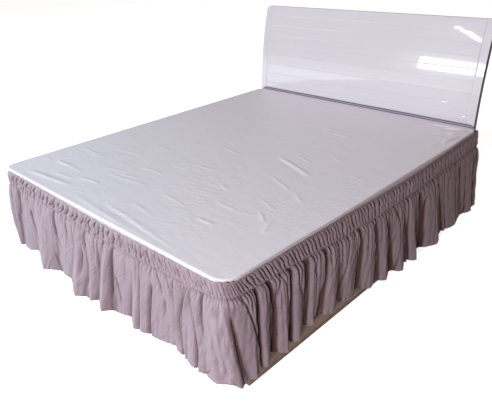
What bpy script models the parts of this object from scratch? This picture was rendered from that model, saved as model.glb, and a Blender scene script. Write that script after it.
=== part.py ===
"""Bed skirt on a bed.

A gathered skirt hangs round three sides of a double bed from an elastic heading.
The heading grips the mattress just under its top edge. A flat elastic strap closes
it behind the head end. The bed is plain: a base, a mattress in a fitted sheet and a
curved headboard.

Units are metres. The origin is on the floor under the middle of the mattress, with
+X to the right as seen from the foot, +Y towards the headboard and +Z up.

Everything that follows the bed's side is placed by three numbers:
  along   distance round the bed, 0 at the left foot corner, BED_WIDTH at the right
          one, negative up the left side
  out     distance outward from the bed's side
  drop    distance down from the top of the bed
"""
import math
from collections import namedtuple

import bmesh
import bpy
from mathutils import Vector

# Bed
BED_WIDTH = 1.600
BED_LENGTH = 2.000
BED_TOP = 0.500
CORNER_RADIUS = 0.060
MATTRESS_THICKNESS = 0.240
BASE_TOE_RECESS = 0.100

# Fitted sheet: a lip at the mattress edge, then a wall drawn in under the heading
SHEET_THICKNESS = 0.0015
SHEET_ON_TOP_GAP = 0.0005
SHEET_SIDE_GAP = 0.0020
LIP_RADIUS = 0.012
LIP_DRAWN_IN = 0.006
SHEET_HEM_DROP = 0.160

# Headboard: a thin panel, upright at the mattress and curving back above it
HEADBOARD_WIDTH = 1.580
HEADBOARD_SHIFT = -0.010
HEADBOARD_RISE = 0.574
HEADBOARD_LEAN = 0.075
HEADBOARD_THICKNESS = 0.018
HEADBOARD_BOTTOM = 0.080
HEADBOARD_CLEARANCE = 0.006
HEADBOARD_CORNER = 0.030

# Skirt
CLOTH_THICKNESS = 0.002
HEADING_TOP_DROP = 0.028
HEADING_HEIGHT = 0.062
GATHER_PITCH = 0.034
GATHER_DEPTH = 0.005
STRAP_HEIGHT = 0.065
STRAP_ABOVE_BED = 0.020
STRAP_THICKNESS = 0.0015
SEAT_GAP = 0.0003
SEAM_GAP = 0.0006

HALF_WIDTH = BED_WIDTH / 2
HALF_LENGTH = BED_LENGTH / 2
BASE_TOP = BED_TOP - MATTRESS_THICKNESS
SHEET_WALL_OUT = -LIP_DRAWN_IN + SHEET_THICKNESS
HEADING_INNER_OUT = SHEET_WALL_OUT + SEAT_GAP
HEADING_BOTTOM_DROP = HEADING_TOP_DROP + HEADING_HEIGHT
SKIRT_TOP_DROP = HEADING_BOTTOM_DROP + SEAT_GAP

# One row for each crest and each hollow of the hanging cloth.
#   top   where it leaves the heading, measured along the bed's side
#   hem   where it meets the hem, measured the same way
#   out   how far the cloth stands out from the bed's side at the hem
#   drop  how far the hem is below the top of the bed there
#   belly how much further out the cloth swells half way down
Fold = namedtuple("Fold", "top hem out drop belly", defaults=[0.0])

FOOT_FOLDS = [
    Fold(-0.070, -0.080, 0.014, 0.440, 0.010),
    Fold(-0.025, -0.030, 0.024, 0.444, 0.026),
    Fold(0.040, 0.015, 0.020, 0.442, 0.014),
    Fold(0.140, 0.085, 0.012, 0.436),
    Fold(0.215, 0.165, 0.020, 0.424),
    Fold(0.290, 0.245, 0.012, 0.398),
    Fold(0.395, 0.390, 0.068, 0.420),
    Fold(0.500, 0.475, 0.020, 0.420),
    Fold(0.580, 0.520, 0.024, 0.420),
    Fold(0.690, 0.572, 0.022, 0.418),
    Fold(0.730, 0.705, 0.083, 0.421),
    Fold(0.755, 0.760, 0.050, 0.420),
    Fold(0.810, 0.795, 0.054, 0.422),
    Fold(0.890, 0.820, 0.030, 0.418),
    Fold(0.925, 0.895, 0.068, 0.419),
    Fold(0.955, 0.935, 0.028, 0.418),
    Fold(1.020, 0.985, 0.022, 0.415),
    Fold(1.105, 1.040, 0.012, 0.406),
    Fold(1.140, 1.103, 0.048, 0.417),
    Fold(1.210, 1.175, 0.026, 0.416),
    Fold(1.260, 1.235, 0.020, 0.412),
    Fold(1.370, 1.325, 0.012, 0.395),
    Fold(1.395, 1.362, 0.026, 0.413),
    Fold(1.420, 1.400, 0.020, 0.412),
    Fold(1.440, 1.450, 0.045, 0.414),
    Fold(1.485, 1.505, 0.026, 0.412),
    Fold(1.515, 1.560, 0.036, 0.412),
    Fold(1.560, 1.605, 0.034, 0.398),
    Fold(1.585, 1.637, 0.056, 0.420),
    Fold(1.605, 1.662, 0.030, 0.417),
]

# The right side, measured from the right foot corner towards the head.
SIDE_FOLDS = [
    Fold(0.005, 0.062, 0.030, 0.417),
    Fold(0.095, 0.082, 0.054, 0.416),
    Fold(0.135, 0.118, 0.038, 0.414),
    Fold(0.170, 0.157, 0.046, 0.415),
    Fold(0.205, 0.210, 0.012, 0.404),
    Fold(0.270, 0.262, 0.052, 0.414),
    Fold(0.316, 0.300, 0.024, 0.412),
    Fold(0.350, 0.342, 0.046, 0.413),
    Fold(0.425, 0.403, 0.012, 0.405),
    Fold(0.462, 0.437, 0.030, 0.412),
    Fold(0.535, 0.510, 0.012, 0.408),
    Fold(0.585, 0.573, 0.044, 0.411),
    Fold(0.642, 0.640, 0.018, 0.413),
    Fold(0.695, 0.704, 0.038, 0.420),
    Fold(0.790, 0.788, 0.012, 0.424),
    Fold(0.865, 0.850, 0.048, 0.435),
    Fold(0.935, 0.930, 0.030, 0.442),
    Fold(0.970, 0.967, 0.062, 0.447),
    Fold(1.030, 1.035, 0.034, 0.449),
    Fold(1.085, 1.097, 0.078, 0.451),
    Fold(1.160, 1.160, 0.046, 0.448),
    Fold(1.215, 1.227, 0.080, 0.451),
    Fold(1.290, 1.290, 0.030, 0.448),
    Fold(1.435, 1.440, 0.088, 0.451),
    Fold(1.525, 1.545, 0.046, 0.449),
    Fold(1.620, 1.690, 0.068, 0.451),
    Fold(1.745, 1.810, 0.040, 0.449),
    Fold(1.880, 1.905, 0.066, 0.451),
    Fold(1.950, 1.950, 0.046, 0.450),
    Fold(1.995, 1.993, 0.054, 0.450),
]

# Rows of the hanging cloth, as a share of the way from the heading to the hem.
SKIRT_ROWS = [0.0, 0.07, 0.22, 0.45, 0.72, 1.0]
STEPS_PER_FOLD = 3
SPREAD_POWER = 0.75


def clear_scene():
    """Start from an empty scene."""
    for old in list(bpy.data.objects):
        bpy.data.objects.remove(old, do_unlink=True)


def material(name, color, roughness, metallic=0.0):
    """Return a Principled material of one plain colour."""
    made = bpy.data.materials.new(name)
    made.use_nodes = True
    shader = made.node_tree.nodes["Principled BSDF"]
    shader.inputs["Base Color"].default_value = (*color, 1.0)
    shader.inputs["Roughness"].default_value = roughness
    shader.inputs["Metallic"].default_value = metallic
    return made


def add_object(name, mesh_data, finish, smooth_angle=None):
    """Turn a bmesh into an object with its faces pointing out."""
    bmesh.ops.recalc_face_normals(mesh_data, faces=mesh_data.faces)
    mesh = bpy.data.meshes.new(name)
    mesh_data.to_mesh(mesh)
    mesh_data.free()
    mesh.materials.append(finish)
    if smooth_angle is not None:
        mesh.shade_smooth()
        mesh.set_sharp_from_angle(angle=math.radians(smooth_angle))
    obj = bpy.data.objects.new(name, mesh)
    bpy.context.collection.objects.link(obj)
    return obj


def side_frame(along):
    """Return the point on the bed's side at `along`, and the outward direction.

    The foot corners are quarter circles. The sides run straight to the head.
    """
    radius = CORNER_RADIUS
    quarter = math.pi / 2
    if along <= -radius:
        return Vector((-HALF_WIDTH, -HALF_LENGTH - along)), Vector((-1.0, 0.0))
    if along >= BED_WIDTH + radius:
        return Vector((HALF_WIDTH, -HALF_LENGTH + along - BED_WIDTH)), Vector((1.0, 0.0))
    if radius <= along <= BED_WIDTH - radius:
        return Vector((-HALF_WIDTH + along, -HALF_LENGTH)), Vector((0.0, -1.0))
    if along < radius:
        centre = Vector((-HALF_WIDTH + radius, -HALF_LENGTH + radius))
        turn = quarter * (along + radius) / (2 * radius)
        outward = Vector((-math.cos(turn), -math.sin(turn)))
    else:
        centre = Vector((HALF_WIDTH - radius, -HALF_LENGTH + radius))
        turn = quarter * (along - BED_WIDTH + radius) / (2 * radius)
        outward = Vector((math.sin(turn), -math.cos(turn)))
    return centre + outward * radius, outward


def place(along, out, drop):
    """Return the 3-D point given by its three numbers round the bed's side."""
    foot, outward = side_frame(along)
    spot = foot + outward * out
    return Vector((spot.x, spot.y, BED_TOP - drop))


def thin_cloth(name, spots, thickness, finish):
    """Build a closed sheet whose middle surface is the grid `spots` of (along, out, drop)."""
    last_row = len(spots) - 1
    last_column = len(spots[0]) - 1
    points = [[place(*spot) for spot in row] for row in spots]

    def outward(row, column):
        """Return the level direction square to the cloth at one point of the grid."""
        if column in (0, last_column):
            return side_frame(spots[row][column][0])[1].to_3d()
        across = points[row][column + 1] - points[row][column - 1]
        return Vector((across.y, -across.x, 0.0)).normalized()

    cloth = bmesh.new()
    skins = []
    for side in (1, -1):
        shift = side * thickness / 2
        grid = [
            [cloth.verts.new(point + outward(r, c) * shift) for c, point in enumerate(row)]
            for r, row in enumerate(points)
        ]
        skins.append(grid)
    front, back = skins
    for r in range(last_row):
        for c in range(last_column):
            cloth.faces.new((front[r][c], front[r + 1][c], front[r + 1][c + 1], front[r][c + 1]))
            cloth.faces.new((back[r][c], back[r][c + 1], back[r + 1][c + 1], back[r + 1][c]))
    for c in range(last_column):
        cloth.faces.new((front[0][c], front[0][c + 1], back[0][c + 1], back[0][c]))
        cloth.faces.new((front[-1][c], back[-1][c], back[-1][c + 1], front[-1][c + 1]))
    for r in range(last_row):
        cloth.faces.new((front[r][0], back[r][0], back[r + 1][0], front[r + 1][0]))
        cloth.faces.new((front[r][-1], front[r + 1][-1], back[r + 1][-1], back[r][-1]))
    return add_object(name, cloth, finish, smooth_angle=60)


def ease(share):
    """Return a smooth step from 0 to 1."""
    return (1 - math.cos(math.pi * share)) / 2


def blend(start, end, share):
    """Return the value a share of the way from start to end."""
    return start + (end - start) * share


def fold_at(fold, down, crest):
    """Return along, out and drop of one fold, `down` being 0 at the heading, 1 at the hem."""
    along = blend(fold.top, fold.hem, down)
    start = HEADING_INNER_OUT + CLOTH_THICKNESS + (GATHER_DEPTH / 2 if crest else 0)
    out = blend(start, fold.out, down ** SPREAD_POWER) + fold.belly * math.sin(math.pi * down)
    return along, out, blend(SKIRT_TOP_DROP, fold.drop, down)


def skirt_rows(folds, start_trim, end_trim):
    """Return the grid of one skirt panel, a row of (along, out, drop) for each height."""
    rows = []
    for down in SKIRT_ROWS:
        knots = []
        for index, fold in enumerate(folds):
            beside = folds[index - 1] if index else folds[1]
            knots.append(fold_at(fold, down, fold.out > beside.out))
        row = []
        for index in range(len(knots) - 1):
            for step in range(STEPS_PER_FOLD):
                share = step / STEPS_PER_FOLD
                along = blend(knots[index][0], knots[index + 1][0], share)
                out = blend(knots[index][1], knots[index + 1][1], ease(share))
                drop = blend(knots[index][2], knots[index + 1][2], ease(share))
                row.append([along, out, drop])
        row.append(list(knots[-1]))
        row[0][0] += start_trim
        row[-1][0] -= end_trim
        rows.append(row)
    return rows


def right_side_folds():
    """Return the right side's folds, placed from the right foot corner."""
    return [
        fold._replace(top=BED_WIDTH + fold.top, hem=BED_WIDTH + fold.hem)
        for fold in SIDE_FOLDS
    ]


def left_side_folds():
    """Return the left side's folds: like the right side's, but each one uneven in its own way."""
    folds = []
    for index, fold in enumerate(SIDE_FOLDS):
        shift = 0.014 * math.sin(index * 1.9)
        fuller = 1 + 0.22 * math.sin(index * 2.7)
        folds.append(Fold(-fold.top - shift, -fold.hem - shift, max(fold.out * fuller, 0.012), fold.drop))
    folds[0] = FOOT_FOLDS[0]
    folds[-1] = folds[-1]._replace(top=-SIDE_FOLDS[-1].top, hem=-SIDE_FOLDS[-1].hem)
    return folds[::-1]


def build_skirt(finish):
    """Build the three gathered panels, butted at the seams beside the foot corners."""
    half_seam = SEAM_GAP / 2
    left = left_side_folds()
    right = right_side_folds()
    thin_cloth("skirt_left", skirt_rows(left, 0, half_seam), CLOTH_THICKNESS, finish)
    thin_cloth("skirt_foot", skirt_rows(FOOT_FOLDS, half_seam, half_seam), CLOTH_THICKNESS, finish)
    thin_cloth("skirt_right", skirt_rows(right, half_seam, 0), CLOTH_THICKNESS, finish)


def build_heading(finish):
    """Build the shirred elastic band as a rippled strip round three sides."""
    start = -BED_LENGTH
    length = 2 * BED_LENGTH + BED_WIDTH
    half_gathers = 2 * round(length / GATHER_PITCH)
    rows = []
    for down in (0.0, 0.5, 1.0):
        row = []
        for index in range(half_gathers + 1):
            share = index / half_gathers
            wander = 0.3 * GATHER_PITCH * math.sin(index * 0.73) * math.sin(math.pi * share)
            slant = 0.35 * GATHER_PITCH * (down - 0.5) * math.sin(math.pi * share)
            depth = GATHER_DEPTH * (0.75 + 0.25 * math.sin(index * 1.31))
            ripple = depth * (1 if down == 0.5 else 0.6) * (index % 2)
            out = HEADING_INNER_OUT + CLOTH_THICKNESS / 2 + 0.0004 + ripple
            along = start + length * share + wander + slant
            row.append((along, out, HEADING_TOP_DROP + HEADING_HEIGHT * down))
        rows.append(row)
    return thin_cloth("skirt_heading", rows, CLOTH_THICKNESS, finish)


def rounded_ring(mesh_data, half_x, half_y, radius, height, side_steps=6, corner_steps=5):
    """Add one ring of points round a rectangle with round corners, and return it."""
    ring = []
    signs = [(1, 1), (-1, 1), (-1, -1), (1, -1)]
    centres = [Vector((x * (half_x - radius), y * (half_y - radius))) for x, y in signs]
    for corner, centre in enumerate(centres):
        for step in range(corner_steps + 1):
            turn = math.pi / 2 * (corner + step / corner_steps)
            ring.append(centre + radius * Vector((math.cos(turn), math.sin(turn))))
        begin = ring[-1]
        end = begin + centres[(corner + 1) % 4] - centre
        ring += [begin.lerp(end, step / side_steps) for step in range(1, side_steps)]
    return [mesh_data.verts.new((spot.x, spot.y, height)) for spot in ring]


def join_rings(mesh_data, lower, upper):
    """Join two rings of the same count with quads."""
    count = len(lower)
    for index in range(count):
        following = (index + 1) % count
        mesh_data.faces.new((lower[index], lower[following], upper[following], upper[index]))


def lip_profile(shrink):
    """Return (out, drop) pairs of the sheet from its hem up over the lip, moved inward by `shrink`."""
    wall = -LIP_DRAWN_IN + SHEET_THICKNESS
    bottom = 2 * LIP_RADIUS + 0.002
    profile = [(wall - shrink, SHEET_HEM_DROP), (wall - shrink, bottom)]
    for degrees in (-55, -25, 0, 30, 60, 90):
        turn = math.radians(degrees)
        reach = LIP_RADIUS - shrink
        profile.append((-LIP_RADIUS + reach * math.cos(turn), LIP_RADIUS - reach * math.sin(turn)))
    return profile


def build_sheet(finish):
    """Build the fitted sheet as an open cap over the mattress."""
    sheet = bmesh.new()
    shells = []
    for shrink in (0.0, SHEET_THICKNESS):
        rings = []
        for out, drop in lip_profile(shrink):
            radius = CORNER_RADIUS + out
            rings.append(rounded_ring(sheet, HALF_WIDTH + out, HALF_LENGTH + out, radius, BED_TOP - drop))
        for lower, upper in zip(rings, rings[1:]):
            join_rings(sheet, lower, upper)
        sheet.faces.new(rings[-1])
        shells.append(rings)
    join_rings(sheet, shells[0][0], shells[1][0])
    return add_object("fitted_sheet", sheet, finish, smooth_angle=50)


def build_mattress(finish):
    """Build the mattress as a block with round corners and a soft top edge."""
    inset = LIP_DRAWN_IN + SHEET_SIDE_GAP
    top_drop = SHEET_THICKNESS + SHEET_ON_TOP_GAP
    edge = LIP_RADIUS - top_drop
    mattress = bmesh.new()
    rings = []
    sections = [(0.0, MATTRESS_THICKNESS - SEAT_GAP), (0.0, top_drop + edge)]
    sections += [(edge * 0.3, top_drop + edge * 0.3), (edge, top_drop)]
    for further_in, drop in sections:
        pull = inset + further_in
        half_x = HALF_WIDTH - pull
        half_y = HALF_LENGTH - pull
        rings.append(rounded_ring(mattress, half_x, half_y, CORNER_RADIUS - pull, BED_TOP - drop, 1))
    for lower, upper in zip(rings, rings[1:]):
        join_rings(mattress, lower, upper)
    mattress.faces.new(rings[0])
    mattress.faces.new(rings[-1])
    return add_object("mattress", mattress, finish, smooth_angle=50)


def box(name, low, high, finish):
    """Build a plain box between two opposite corners."""
    solid = bmesh.new()
    bmesh.ops.create_cube(solid, size=1.0)
    low = Vector(low)
    high = Vector(high)
    for vert in solid.verts:
        vert.co = Vector(blend(low[i], high[i], vert.co[i] + 0.5) for i in range(3))
    return add_object(name, solid, finish)


def build_base(finish):
    """Build the base: flush with the mattress at the sides, set back at the foot."""
    head_face = HALF_LENGTH + HEADBOARD_CLEARANCE - SEAT_GAP
    low = (-HALF_WIDTH, -HALF_LENGTH + BASE_TOE_RECESS, 0.0)
    high = (HALF_WIDTH, head_face, BASE_TOP)
    return box("bed_base", low, high, finish)


def build_strap(finish):
    """Build the flat elastic that closes the heading behind the head end."""
    reach = HALF_WIDTH + GATHER_DEPTH / 2
    front = HALF_LENGTH + SEAT_GAP
    top = BED_TOP + STRAP_ABOVE_BED
    low = (-reach, front, top - STRAP_HEIGHT)
    high = (reach, front + STRAP_THICKNESS, top)
    return box("head_strap", low, high, finish)


def headboard_lean(height):
    """Return how far back the panel has curved at this height above the floor."""
    above = max(height - BED_TOP, 0.0)
    return HEADBOARD_LEAN * (above / HEADBOARD_RISE) ** 2


def build_headboard(finish):
    """Build the headboard: an upright outline, thickened, then curved back row by row."""
    top = BED_TOP + HEADBOARD_RISE
    half = HEADBOARD_WIDTH / 2
    radius = HEADBOARD_CORNER
    outline = [(-half, HEADBOARD_BOTTOM), (half, HEADBOARD_BOTTOM)]
    for side in (1, -1):
        for step in range(6):
            turn = math.pi / 2 * (step / 5 if side > 0 else 1 - step / 5)
            reach = half - radius + radius * math.cos(turn)
            outline.append((side * reach, top - radius + radius * math.sin(turn)))
    panel = bmesh.new()
    front = HALF_LENGTH + HEADBOARD_CLEARANCE
    corners = [panel.verts.new((x + HEADBOARD_SHIFT, front, z)) for x, z in outline]
    face = panel.faces.new(corners)
    grown = bmesh.ops.extrude_face_region(panel, geom=[face])
    moved = [item for item in grown["geom"] if isinstance(item, bmesh.types.BMVert)]
    bmesh.ops.translate(panel, verts=moved, vec=(0.0, HEADBOARD_THICKNESS, 0.0))
    curve_rows = 10
    for row in range(curve_rows):
        height = BED_TOP + HEADBOARD_RISE * row / curve_rows
        parts = panel.verts[:] + panel.edges[:] + panel.faces[:]
        bmesh.ops.bisect_plane(panel, geom=parts, plane_co=(0, 0, height), plane_no=(0, 0, 1))
    for vert in panel.verts:
        vert.co.y += headboard_lean(vert.co.z)
    return add_object("headboard", panel, finish, smooth_angle=30)


def main():
    """Build every piece of the bed skirt and the bed that it hangs from."""
    clear_scene()
    skirt_cloth = material("skirt_cloth", (0.46, 0.40, 0.46), 0.85)
    sheet_cloth = material("sheet_cloth", (0.62, 0.61, 0.66), 0.45)
    elastic = material("elastic", (0.22, 0.19, 0.23), 0.80)
    ticking = material("mattress_ticking", (0.75, 0.74, 0.72), 0.90)
    wood = material("base_wood", (0.22, 0.14, 0.09), 0.55)
    lacquer = material("headboard_lacquer", (0.72, 0.71, 0.78), 0.12)
    build_base(wood)
    build_mattress(ticking)
    build_sheet(sheet_cloth)
    build_headboard(lacquer)
    build_strap(elastic)
    build_heading(skirt_cloth)
    build_skirt(skirt_cloth)


main()
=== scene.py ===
# %% [markdown]
# # A gathered bed skirt, dressed
# The solid model of the bed and its skirt is already built and packed. This lesson
# loads it as a fixed frame and gives it its looks: cloth with real folds, a shirred
# elastic band, a satin sheet, a lacquered headboard and a veneered base. Every new
# piece lies on its solid, so nothing has to be fitted by eye.

# %% Load the solid model
import math
from collections import namedtuple

import bmesh
import bpy
import numpy as np
from mathutils import Euler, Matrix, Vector


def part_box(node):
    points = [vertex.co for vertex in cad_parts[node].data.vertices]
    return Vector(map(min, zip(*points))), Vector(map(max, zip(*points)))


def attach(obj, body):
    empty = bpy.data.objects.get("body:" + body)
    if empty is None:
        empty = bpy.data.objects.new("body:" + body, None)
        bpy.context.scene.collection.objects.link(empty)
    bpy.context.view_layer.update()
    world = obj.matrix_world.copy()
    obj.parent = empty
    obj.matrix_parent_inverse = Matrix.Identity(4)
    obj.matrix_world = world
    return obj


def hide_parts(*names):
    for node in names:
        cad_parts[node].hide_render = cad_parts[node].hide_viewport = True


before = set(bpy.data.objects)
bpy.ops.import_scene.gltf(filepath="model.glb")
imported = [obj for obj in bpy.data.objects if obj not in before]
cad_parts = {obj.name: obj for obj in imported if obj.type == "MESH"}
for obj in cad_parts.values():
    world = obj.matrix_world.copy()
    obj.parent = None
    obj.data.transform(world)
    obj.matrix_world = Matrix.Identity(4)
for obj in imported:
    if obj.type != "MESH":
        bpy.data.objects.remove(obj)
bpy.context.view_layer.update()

# %% [markdown]
# ## The camera
# The view is from beyond the right foot corner, a little above the headboard's top.
# The lens and the small shift come from the way the mattress's four corners meet the
# eye. The camera is set by plain numbers, because a tracking constraint would lose the
# two degrees of tilt.

# %% Camera
bpy.ops.object.camera_add(location=(1.8238, -1.9765, 1.4859))
camera = bpy.context.object
camera.name = "camera"
camera.rotation_euler = Euler([math.radians(a) for a in (64.753, 2.162, 44.475)])
camera.data.lens = 39.066
camera.data.shift_x = 0.0367
camera.data.shift_y = -0.0110
camera.data.clip_end = 200
bpy.context.scene.camera = camera
print("camera at", tuple(camera.location), "lens", camera.data.lens)

# %% [markdown]
# ## Floor and light
# A big pale floor fills the view to its top edge. A large soft light stands well beyond
# the foot of the bed, to the left, so the foot panel is bright. A smaller one beyond the
# right foot corner skims along the long side, where each fold shows. The lacquer mirrors
# neither of them: two window-like lights are there for it. A faint warm sky fills the
# shadows. The floor throws no light back on the bed, which keeps the long side in half
# shade. A sun is linked to the floor alone, so it brightens nothing else, and the bed
# casts no shadow in its light.

# %% Floor, lights and sky
def area_light(name, spot, aim, size, power, colour=(1.0, 1.0, 1.0), mirrored=True):
    """Add a soft rectangular light at `spot`, turned towards `aim`."""
    bpy.ops.object.light_add(type="AREA", location=spot)
    lamp = bpy.context.object
    lamp.name = name
    lamp.rotation_euler = (Vector(aim) - Vector(spot)).to_track_quat("-Z", "Y").to_euler()
    lamp.data.shape = "RECTANGLE"
    lamp.data.size, lamp.data.size_y = size
    lamp.data.energy = power
    lamp.data.color = colour
    lamp.visible_glossy = mirrored
    return lamp


bpy.ops.mesh.primitive_plane_add(size=120)
floor = bpy.context.object
floor.name = "floor"
floor.visible_diffuse = False

area_light("key", (-4.2, -6.4, 5.4), (0.0, -0.4, 0.4), (2.4, 2.4), 925, (0.89, 0.965, 1.0), mirrored=False)
area_light("side", (2.0, -3.4, 1.2), (0.8, 0.0, 0.3), (0.8, 0.8), 82, (1.0, 0.865, 0.86), mirrored=False)
area_light("window", (-1.79, -5.0, 1.22), (0.58, 1.03, 0.82), (1.12, 0.56), 30)
roof = area_light("roof_window", (-1.77, -5.0, 2.76), (0.65, 1.06, 1.0), (0.68, 0.10), 6)
roof.rotation_euler.rotate_axis("Z", math.radians(-47))

bpy.ops.object.light_add(type="SUN", rotation=(0.0, 0.0, 0.0))
floor_light = bpy.context.object
floor_light.name = "floor_light"
floor_light.data.energy = 3.1
floor_light.data.angle = math.radians(60)
lit_by_it = bpy.data.collections.new("lit_by_floor_light")
lit_by_it.objects.link(floor)
floor_light.light_linking.receiver_collection = lit_by_it
floor_light.light_linking.blocker_collection = lit_by_it

sky = bpy.data.worlds.new("studio")
sky.use_nodes = True
sky.node_tree.nodes["Background"].inputs["Color"].default_value = (1.0, 0.71, 0.575, 1.0)
sky.node_tree.nodes["Background"].inputs["Strength"].default_value = 0.150
bpy.context.scene.world = sky
bpy.context.scene.view_settings.view_transform = "Standard"
print("lights:", [o.name for o in bpy.data.objects if o.type == "LIGHT"])

# %% [markdown]
# ## Sums in a shader
# A finish varies over its surface: a little lighter here, a little rougher there. In the
# node editor that is a chain of Math nodes. Written out, a chain of sums is hard to read,
# so one small class wraps a node's output and turns each plain operator into the Math
# node that does it. Colours go through Mix nodes instead, because Math would turn them
# grey.

# %% A number in a shader
class Number:
    """What comes out of a node, ready for sums."""

    def __init__(self, finish, socket):
        self.finish = finish
        self.socket = socket

    def sum_node(self, operation, *values):
        """Add one Math node and return what comes out of it."""
        node = self.finish.node("ShaderNodeMath", {"operation": operation}, *values)
        return Number(self.finish, node.outputs[0])

    def __add__(self, other): return self.sum_node("ADD", self, other)
    def __sub__(self, other): return self.sum_node("SUBTRACT", self, other)
    def __mul__(self, other): return self.sum_node("MULTIPLY", self, other)
    def __pow__(self, other): return self.sum_node("POWER", self, other)
    def __radd__(self, other): return self.sum_node("ADD", other, self)
    def __rsub__(self, other): return self.sum_node("SUBTRACT", other, self)
    def __rmul__(self, other): return self.sum_node("MULTIPLY", other, self)

    def wave(self, length):
        """A wave between 0 and 1 that repeats each `length`."""
        return self.sum_node("SINE", self * (math.tau / length)) * 0.5 + 0.5

    def ridge(self, sharp):
        """Narrow ridges of height 1 along the lines where the number is one half."""
        return (1 - self.sum_node("ABSOLUTE", self * 2 - 1)) ** sharp

    def clamp(self):
        """The number held between 0 and 1."""
        return self.sum_node("MINIMUM", self.sum_node("MAXIMUM", self, 0.0), 1.0)


print("besides plain sums, a number has:", [name for name in vars(Number) if name[0] != "_"])

# %% [markdown]
# ## Finishes
# A finish is one material in the making. Numbers that are the same all over go straight
# to the shader's own sockets. Only what changes over the surface gets nodes. The floor
# is the first to get one: a pale paint with a faint mottle.

# %% A finish
class Finish:
    """One material being written."""

    def __init__(self, name, **constants):
        self.material = bpy.data.materials.new(name)
        self.material.use_nodes = True
        self.nodes = self.material.node_tree.nodes
        self.links = self.material.node_tree.links
        self.shader = self.nodes["Principled BSDF"]
        self.paint(**constants)

    def node(self, kind, settings=None, *values, **named):
        """Add any node: its settings first, then the values or links of its sockets."""
        made = self.nodes.new(kind)
        for setting, value in (settings or {}).items():
            setattr(made, setting, value)
        for place, value in enumerate(values):
            self.feed(made.inputs[place], value)
        for socket, value in named.items():
            self.feed(made.inputs[socket], value)
        return made

    def feed(self, socket, value):
        """Link a socket to a number or a socket, or set it to a plain value."""
        if isinstance(value, Number):
            self.links.new(value.socket, socket)
        elif isinstance(value, bpy.types.NodeSocket):
            self.links.new(value, socket)
        else:
            socket.default_value = value

    def place_on(self, map_name=None):
        """Where a point is: on the piece's own map of the cloth, or in the room."""
        if map_name:
            return self.node("ShaderNodeUVMap", {"uv_map": map_name}).outputs["UV"]
        return self.node("ShaderNodeTexCoord").outputs["Object"]

    def parts(self, place):
        """The three numbers of a place."""
        split = self.node("ShaderNodeSeparateXYZ", None, place)
        return [Number(self, out) for out in split.outputs]

    def at(self, *numbers):
        """A place made of two or three numbers."""
        return self.node("ShaderNodeCombineXYZ", None, *numbers).outputs[0]

    def noise(self, place, stretch, detail=2.0, roughness=0.5, distortion=0.0):
        """Soft random spots, `stretch` of them in each metre along each axis."""
        moved = self.node("ShaderNodeMapping", None, Vector=place, Scale=stretch)
        made = self.node("ShaderNodeTexNoise", None, Vector=moved.outputs[0], Scale=1.0,
                         Detail=detail, Roughness=roughness, Distortion=distortion)
        return Number(self, made.outputs["Fac"])

    def mix(self, share, first, second):
        """Blend two colours."""
        made = self.node("ShaderNodeMix", {"data_type": "RGBA"}, share)
        for slot, colour in ((6, first), (7, second)):
            self.feed(made.inputs[slot], colour if hasattr(colour, "node") else (*colour, 1.0))
        return made.outputs[2]

    def bump(self, height, distance):
        """Press a height into the surface, `distance` deep in metres."""
        self.paint(Normal=self.node("ShaderNodeBump", None, Distance=distance, Height=height).outputs[0])

    def paint(self, **sockets):
        """Feed the shader's own sockets, such as Base_Color and Roughness."""
        for socket, value in sockets.items():
            self.feed(self.shader.inputs[socket.replace("_", " ")], value)


floor_finish = Finish("floor_paint", Roughness=0.75)
mottle = floor_finish.noise(floor_finish.place_on(), (0.6, 0.6, 0.6))
floor_finish.paint(Base_Color=floor_finish.mix(mottle, (0.90, 0.90, 0.90), (0.93, 0.93, 0.93)))
floor.data.materials.append(floor_finish.material)
print("finish for the floor:", floor_finish.material.name)

# %% [markdown]
# ## The skirt's cloth
# The skirt is a thin brushed cloth in a dusty mauve. Up close it has a plain weave and
# small slubs; from a step away the eye sees fine crinkles that run with the folds, and
# the tone shifts a little as the nap lies this way or that. The pattern follows the
# piece's own map, which is measured along the cloth, so the weave bends with each fold.
# Each mesh also carries a number which says how deep a point lies between its
# neighbours, plus a little more in some places. Where it is high the colour is painted
# darker and redder: painted shade, for the light that is lost between the folds.

# %% Skirt cloth
WEAVE_PITCH = 0.0026
CRINKLE = 1.3

skirt_cloth = Finish("skirt_cloth_dressed", Sheen_Weight=0.35, Sheen_Roughness=0.45,
                     Sheen_Tint=(0.95, 0.90, 1.0, 1.0), Specular_IOR_Level=0.25)
spot = skirt_cloth.place_on("cloth")
across, down = skirt_cloth.parts(spot)[:2]
warp, weft = across.wave(WEAVE_PITCH), down.wave(WEAVE_PITCH)
weave = warp * weft + (1 - warp) * (1 - weft)
nap = skirt_cloth.noise(spot, (5.0, 3.0, 1.0), detail=3.0)
slub = skirt_cloth.noise(spot, (60.0, 900.0, 1.0), detail=1.0)
crease = skirt_cloth.noise(spot, (70.0, 11.0, 1.0), detail=3.0, roughness=0.6, distortion=0.6)
slanting = skirt_cloth.at(across + down * 0.5, down - across * 0.3)
crumple = skirt_cloth.noise(slanting, (26.0, 9.0, 1.0), detail=4.0, roughness=0.62, distortion=0.9).ridge(5.0)
skirt_cloth.bump(weave * 0.12 + slub * 0.15 + crease * CRINKLE + crumple * CRINKLE, 0.0016)
tone = (nap * 0.55 + slub * 0.25 + crease * 0.20).clamp()
even = skirt_cloth.mix(tone, (0.302, 0.258, 0.310), (0.372, 0.319, 0.384))
# Painted shade: the mesh's number blends the colour towards a dark red-brown in the hollows between folds.
stored = skirt_cloth.node("ShaderNodeAttribute", {"attribute_name": "painted_shade"})
painted_shade = Number(skirt_cloth, stored.outputs["Fac"])
skirt_cloth.paint(Base_Color=skirt_cloth.mix((painted_shade * 0.92).clamp(), even, (0.088, 0.052, 0.048)),
                  Roughness=0.80 + nap * 0.12)
print("skirt cloth:", skirt_cloth.material.name)

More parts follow.
